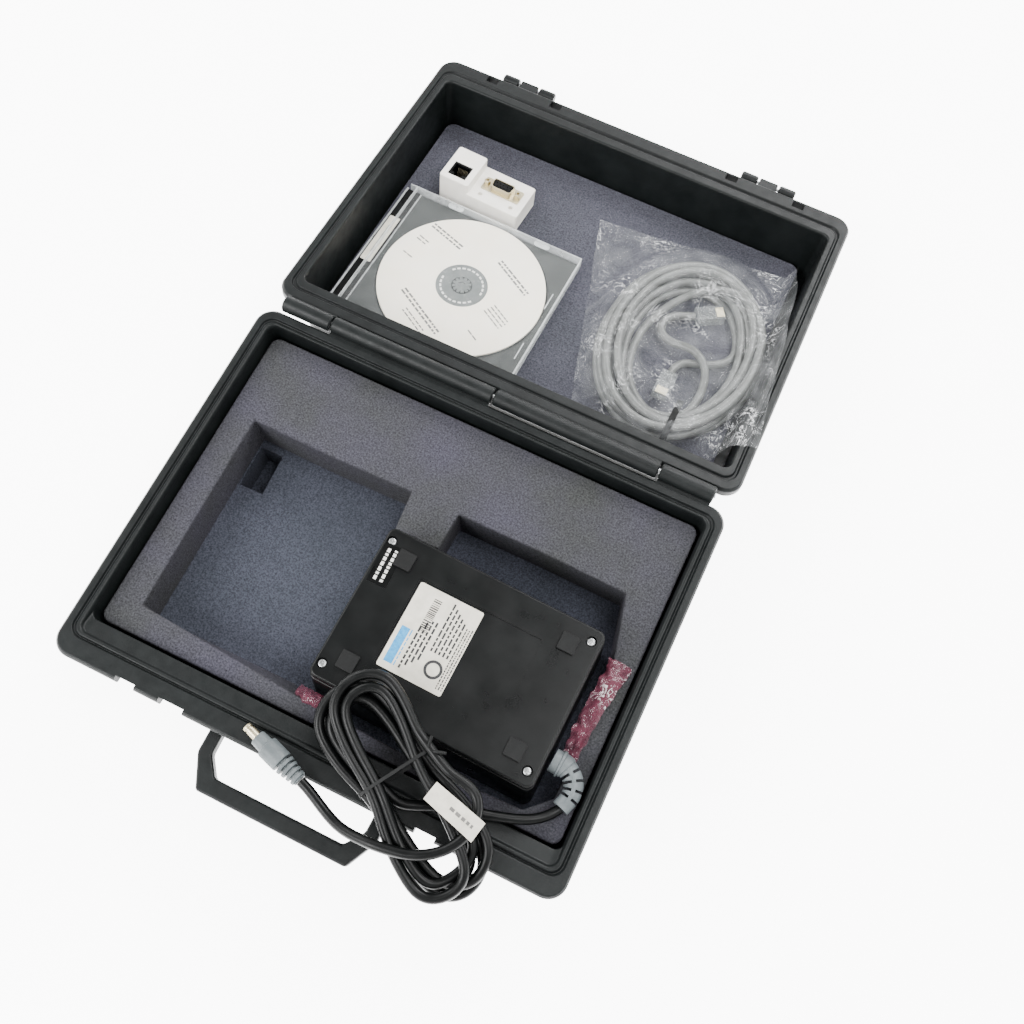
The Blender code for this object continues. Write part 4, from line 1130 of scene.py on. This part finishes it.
def make_box_lid(half_w, half_d):
    lid = piece("box_lid", soft_block(-half_w + 7.5, half_w, -half_d, half_d, 9.2, 10.4, 0.8, 0.3), "box",
                "disc_box_lid", DISC_BOX, replaces=("disc_case_lid",))
    edges = (
        (-half_w + 2.4, half_w, -half_d, -half_d + 0.9, 1.5, 10.3),
        (-half_w + 2.4, half_w, half_d - 0.9, half_d, 1.5, 10.3),
        (half_w - 0.8, half_w, -half_d, half_d, 6.9, 10.3),
        (-half_w + 7.5, -half_w + 8.3, -half_d, half_d, 7.0, 10.3),
    )
    # The lid's edges take the painted-highlight edge finish.
    for index, edge in enumerate(edges, 1):
        piece("box_lid_edge_%d" % index, block(*edge), "box_edge_highlight", "disc_box_lid", DISC_BOX)
    dashes = [(half_w - 5.2, half_w - 4.4, y, y + 15.0) for y in (-40.0, 8.0)]
    stripes("box_lid_marks", dashes, 10.4, "box_edge_highlight", "disc_box_lid", DISC_BOX, 0.1)
    for index, (x, y) in enumerate(((-30, half_d), (40, half_d), (-30, -half_d), (40, -half_d)), 1):
        reach = -math.copysign(5.0, y)
        piece("box_tab_%d" % index,
              extruded(rounded(x - 6, x + 6, min(y, y + reach), max(y, y + reach), 2.2, 5),
                                             8.6, 9.1), "box_edge_highlight", "disc_box_lid", DISC_BOX)
    return lid


# Adapter

def make_adapter():
    left = -ADAPTER_L / 2
    right = ADAPTER_L / 2
    half_d = ADAPTER_D / 2
    step = left + ADAPTER_TALL_L
    case = piece("adapter_shell", soft_block(left, right, -half_d, half_d, 2.0, ADAPTER_LOW_H, 2.0, 0.7),
                 "white", "adapter", ADAPTER, replaces=("adapter_case",))
    cut(case, [soft_block(left, step, -half_d, half_d, 2.0, ADAPTER_TALL_H, 2.0, 0.7)], ADAPTER, "UNION")
    jack_x = (left + step) / 2
    jack_y = -5.2
    port_x = (step + right) / 2
    port_y = 1.0
    holes = [block(jack_x - 7.2, jack_x + 7.2, jack_y - 6.6, jack_y + 6.6, 9, ADAPTER_TALL_H + 2)]
    for side in (-1, 1):
        holes.append(turned((port_x + side * 12.5, port_y - 11.2, 13.6), (0, 0, 1), ((0, 1.7), (6, 1.7)), 24))
    cut(case, holes, ADAPTER)
    piece("adapter_back", soft_block(left, right, -half_d, half_d, 0, 1.8, 2.0, 0.5), "white", "adapter",
          ADAPTER,
          replaces=("adapter_floor",))
    jack = piece("jack_body", block(jack_x - 7.1, jack_x + 7.1, jack_y - 6.5, jack_y + 6.5, 8.0,
                                    ADAPTER_TALL_H - 0.3),
                 "gloss_black", "adapter", ADAPTER, replaces=("network_jack",))
    cut(jack, [block(jack_x - 5.9, jack_x + 5.9, jack_y - 3.4, jack_y + 5.0, 10, ADAPTER_TALL_H + 2),
               block(jack_x - 3.2, jack_x + 3.2, jack_y - 5.6, jack_y, 10, ADAPTER_TALL_H + 2)], ADAPTER)
    for index in range(8):
        x = jack_x - 3.6 + index * 1.03
        piece("jack_contact_%d" % (index + 1),
              rod((x, jack_y + 4.8, 20.5), (x, jack_y + 0.6, 13.5), 0.22, 8, 0.05),
              "gold", "adapter", ADAPTER)
    make_serial_port(port_x, port_y)
    dress(("adapter_board",), "board")


def make_serial_port(x, y):
    low = ADAPTER_LOW_H
    flange = piece("port_flange", extruded(rounded(x - 15.4, x + 15.4, y - 6.2, y + 6.2, 1.4, 5), low,
                                           low + 0.6),
                   "gold", "adapter", ADAPTER)
    soften(flange, 0.15)
    outer = d_shape(x, y, 8.5, 4.2)
    inner = d_shape(x, y, 8.0, 3.7)
    piece("port_shell", loft([at_height(outer, low + 0.3), at_height(outer, low + 5.0),
                              at_height(inner, low + 5.0),
                              at_height(inner, low + 0.3)], closed=True), "gold", "adapter", ADAPTER,
          replaces=("serial_port_shell",))
    insert = piece("port_insert", extruded(d_shape(x, y, 7.7, 3.4), low, low + 4.3), "gloss_black", "adapter",
                   ADAPTER, replaces=("serial_port_insert",))
    holes = [(x - 5.5 + 2.75 * i, y + 1.4) for i in range(5)] + [(x - 4.1 + 2.75 * i, y - 1.4)
                                                                 for i in range(4)]
    cut(insert, [turned((hx, hy, low + 2.5), (0, 0, 1), ((0, 0.55), (4, 0.55)), 10) for hx, hy in holes],
        ADAPTER)
    for side, name in ((-1, "jack_screw_left"), (1, "jack_screw_right")):
        foot = (x + side * 12.5, y, low + 0.5)
        nut = piece(name + "_nut", turned(foot, (0, 0, 1), ((0, 2.5), (3.2, 2.5), (3.8, 2.1)), 6), "gold",
                    "adapter", ADAPTER, replaces=(name,), sharp=25)
        cut(nut, [turned((foot[0], foot[1], low + 2.2), (0, 0, 1), ((0, 1.2), (4, 1.2)), 16)], ADAPTER)


def d_shape(x, y, half_w, half_h):
    """A serial port's outline: rounded, and narrower along one long side."""
    points = rounded(-half_w, half_w, -half_h, half_h, 1.6, 5)
    return [(x + px * (0.95 + 0.05 * py / half_h), y + py) for px, py in points]


# Network cable in its bag

COIL_TURNS = (
    (37.6, 56.8, 0.0, 0.0, 2.9), (43.6, 62.8, 0.6, 0.4, 2.9), (49.6, 68.8, 0.2, 0.2, 2.9),
    (55.4, 74.8, 0.0, 0.0, 3.1),
    (53.4, 73.0, -1.0, 1.2, 8.6), (47.2, 66.6, -1.4, 0.6, 8.6), (41.0, 60.6, -0.6, 0.2, 8.6),
    (44.5, 66.0, 1.6, 2.0, 14.2), (51.0, 72.0, 1.0, -0.6, 14.4),
)


def coil_route():
    """Nine turns in three layers, from a plug inside the coil to its right-hand side."""
    points = [Vector((92.0, 93.8, COIL_FLOOR + 3.4)), Vector((92.6, 100.0, COIL_FLOOR + 3.2)),
              Vector((98.0, 108.0, COIL_FLOOR + 3.0)), Vector((110.0, 112.0, COIL_FLOOR + 2.9)),
              Vector((121.5, 119.0, COIL_FLOOR + 2.9))]
    points = smooth_route(points, 8)
    steps = 90
    start = math.radians(14)
    for index, now in enumerate(COIL_TURNS):
        then = COIL_TURNS[min(index + 1, len(COIL_TURNS) - 1)]
        for i in range(steps):
            part = i / steps
            late = max(0.0, (part - 0.6) / 0.4)
            late = late * late * (3 - 2 * late)
            rx, ry, dx, dy, up = Vector(now).lerp(Vector(then), late)
            angle = start + 2 * math.pi * part
            wobble = 0.5 * math.sin(3 * angle + index * 1.7)
            points.append(Vector((COIL_AT[0] + dx + (rx + wobble) * math.cos(angle),
                                  COIL_AT[1] + dy + (ry + wobble) * math.sin(angle), COIL_FLOOR + up)))
    return points


def lan_route():
    """The coil, then a loose loop inside it that ends at the second plug."""
    coil = coil_route()
    loose = ((139.0, 146.0, 15.5), (126.5, 165.0, 15.6), (108.0, 172.0, 15.0), (88.0, 164.0, 13.0),
             (72.0, 147.0, 8.0), (62.5, 126.0, 4.4), (60.5, 104.0, 3.6), (66.0, 80.0, 3.6), (80.0, 63.0, 3.6),
             (98.0, 57.0, 3.6), (113.0, 68.0, 3.6), (117.0, 90.0, 3.6), (112.0, 107.0, 8.6),
             (99.0, 116.5, 8.8),
             (84.0, 118.0, 4.6), (74.8, 121.8, 3.8), (71.0, 131.0, 3.8), (76.5, 141.3, 3.8),
             (90.2, 147.7, 3.8))
    rest = [coil[-1]] + [Vector((x, y, COIL_FLOOR + up)) for x, y, up in loose]
    return eased(coil + smooth_route(rest, 9)[1:], 2.0, 8)


def plug_home(x, y, turn):
    return LID @ Matrix.Translation((x, y, LID_FOAM_TOP + 5.2)) @ Matrix.Rotation(math.radians(turn), 4, "Z")


def make_lan_cable():
    route = [LID @ p for p in lan_route()]
    near = plug_home(90.2, 147.7, 33)
    far = plug_home(92.0, 93.6, -90)
    plugs = [make_lan_plug("lan_connector", near, "lan_plug"),
             make_lan_plug("lan_connector_far", far, "lan_plug_far")]
    tie = make_coil_tie()
    cord = cable("network_cable", route, LAN_R, "lan", "bagged_cable", ("lan_cable_coil", "lan_cable_tail"))


def make_lan_plug(name, home, node):
    body = piece(name, soft_block(0.5, 21.0, -5.8, 5.8, -4.0, 3.6, 0.7, 0.4), "clear", "bagged_cable", home,
                 replaces=(node,))
    for index in range(8):
        y = -3.6 + 1.03 * index
        blade = piece("%s_blade_%d" % (name, index + 1), block(15.0, 20.6, y - 0.25, y + 0.25, 1.8, 3.7),
                      "gold",
                      "bagged_cable", home)
        blade.parent = body
    latch = piece(name + "_latch", soft_block(4.0, 20.0, -2.9, 2.9, -4.6, -3.9, 0.5, 0.2), "clear",
                  "bagged_cable",
                  home)
    latch.parent = body
    return body


def make_coil_tie():
    x = COIL_AT[0] + 16
    rings = []
    for i in range(25):
        angle = 2 * math.pi * i / 24
        y = 53.0 + 16.4 * math.copysign(abs(math.cos(angle)) ** 0.5, math.cos(angle))
        z = COIL_FLOOR + 8.4 + 9.6 * math.copysign(abs(math.sin(angle)) ** 0.5, math.sin(angle))
        out = Vector((0, y - 53.0, z - COIL_FLOOR - 8.4)).normalized() * 0.5
        spot = Vector((x, y, z))
        across = Vector((2.2, 0.3, 0))
        rings.append([spot + across + out, spot - across + out, spot - across - out, spot + across - out])
    return piece("coil_strap", loft(rings[:-1], closed=True), "rubber", "bagged_cable", LID,
                 replaces=("coil_tie",))


BAG_CORNERS = (Vector((-5.5, 200.0)), Vector((142.5, 217.0)), Vector((164.3, 44.0)), Vector((42.0, 32.0)))


def bag_height(x, y):
    """The film lies on the foam, over the coil and up over the right-hand rim."""
    dx = x - COIL_AT[0]
    dy = y - COIL_AT[1]
    away = math.hypot(dx / 58.5, dy / 78.0)
    inner = math.hypot(dx / 34.0, dy / 55.0)
    top = COIL_FLOOR + 18.2
    floor = LID_FOAM_TOP + 1.2
    if away > 1:
        slide = min(1.0, (away - 1) / 0.34)
        level = top + (floor - top) * slide * slide * (3 - 2 * slide)
    elif inner < 1:
        level = top - 6.0 * (1 - inner) ** 0.8 * (1 + 0.6 * (1 - inner))
    else:
        level = top
    climb = max(0.0, min(1.0, (x - 136.0) / 14.0))
    climb = climb * climb * (3 - 2 * climb)
    return level + (1.2 - level) * climb


def make_bag():
    across = 110
    down = 110
    far_left, far_right, near_right, near_left = BAG_CORNERS
    mesh = bmesh.new()
    grid = []
    for i in range(down + 1):
        v = i / down
        row = []
        for j in range(across + 1):
            u = j / across
            spot = far_left.lerp(far_right, u).lerp(near_left.lerp(near_right, u), v)
            spot = spot - Vector((0, 7.5 * math.sin(math.pi * u) * v * v))
            wave = noise.noise(Vector((u * 7, v * 7, 1.0)))
            spot = spot + Vector((wave * 1.6, noise.noise(Vector((u * 6, v * 6, 8.0))) * 1.6))
            z = bag_height(spot.x, spot.y)
            crease = 1 - abs(noise.noise(Vector((u * 9, v * 6, 3.0)) + Vector((wave, wave, 0))))
            fine = 1 - abs(noise.noise(Vector((u * 22, v * 26, 5.0))))
            near_edge = max(0.0, v - 0.72) / 0.28
            z += 1.5 * (crease - 0.75) + (0.6 + 1.6 * near_edge) * (fine - 0.8)
            row.append(mesh.verts.new((spot.x, spot.y, max(z, LID_FOAM_TOP + 0.4))))
        grid.append(row)
    for a, b in zip(grid, grid[1:]):
        for j in range(across):
            mesh.faces.new((a[j], a[j + 1], b[j + 1], b[j]))
    bag = piece("clear_bag", mesh, "bag", "bagged_cable", LID, replaces=("cable_bag",),
                sharp=80)


# Stage

def area_light(name, spot, aim, size, power, colour=(1, 1, 1)):
    data = bpy.data.lights.new(name, "AREA")
    data.shape = "RECTANGLE"
    data.size, data.size_y = size
    data.energy = power
    data.color = colour
    lamp = bpy.data.objects.new(name, data)
    lamp.location = spot
    lamp.rotation_euler = (Vector(aim) - Vector(spot)).to_track_quat("-Z", "Y").to_euler()
    bpy.context.scene.collection.objects.link(lamp)


def make_world():
    """A studio that is bright all round at table height and dim overhead."""
    world = bpy.data.worlds.new("studio")
    world.use_nodes = True
    nodes = world.node_tree.nodes
    links = world.node_tree.links
    place = nodes.new("ShaderNodeTexCoord").outputs["Generated"]
    split = nodes.new("ShaderNodeSeparateXYZ")
    links.new(place, split.inputs[0])
    fade = nodes.new("ShaderNodeMapRange")
    fade.inputs["From Min"].default_value = 0.30
    fade.inputs["From Max"].default_value = 0.85
    fade.inputs["To Min"].default_value = 2.4
    fade.inputs["To Max"].default_value = 0.7
    links.new(split.outputs["Z"], fade.inputs["Value"])
    links.new(fade.outputs["Result"], nodes["Background"].inputs["Strength"])
    nodes["Background"].inputs["Color"].default_value = (1.0, 1.0, 1.0, 1.0)
    bpy.context.scene.world = world


def make_stage():
    make_world()
    area_light("key", (-0.8, -1.0, 1.25), (0.0, 0.1, 0.05), (0.9, 0.9), 48)
    area_light("back", (0.4, 1.5, 1.3), (0.0, 0.1, 0.05), (1.2, 0.7), 44)
    area_light("left", (-1.5, 0.5, 1.0), (0.0, 0.1, 0.05), (0.9, 0.7), 20)
    area_light("above", (0.75, 0.25, 1.9), (0.0, 0.0, 0.05), (0.9, 0.9), 34)
    mesh = bmesh.new()
    bmesh.ops.create_grid(mesh, x_segments=1, y_segments=1, size=6.0)
    data = bpy.data.meshes.new("floor")
    mesh.to_mesh(data)
    mesh.free()
    plain = Finish("floor_paper", 0.9, Base_Color=(0.96, 0.96, 0.96, 1.0),
                   Emission_Color=(1.0, 1.0, 1.0, 1.0), Emission_Strength=7.0)
    data.materials.append(plain.material)
    floor = bpy.data.objects.new("floor", data)
    floor.location.z = -0.0005
    bpy.context.scene.collection.objects.link(floor)


def make_camera():
    data = bpy.data.cameras.new("camera")
    data.sensor_width = 36.0
    data.lens = 37.24
    camera = bpy.data.objects.new("camera", data)
    camera.location = (0.12126, -0.12774, 0.69844)
    camera.rotation_euler = Euler([math.radians(a) for a in (18.816, -1.330, 25.658)])
    bpy.context.scene.collection.objects.link(camera)
    bpy.context.scene.camera = camera


for item in list(bpy.data.objects):
    bpy.data.objects.remove(item, do_unlink=True)
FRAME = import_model()
FINISH = make_finishes()
make_camera()
make_stage()
make_base()
make_lid()
make_latches()
make_handle()
make_foam()
make_power_unit()
make_lead()
make_film()
make_disc_box()
make_adapter()
make_lan_cable()
make_bag()
dress(("hinge_pin", "handle_pin_left", "handle_pin_right", "latch_left_pin", "latch_right_pin"), "steel")
even_shading()
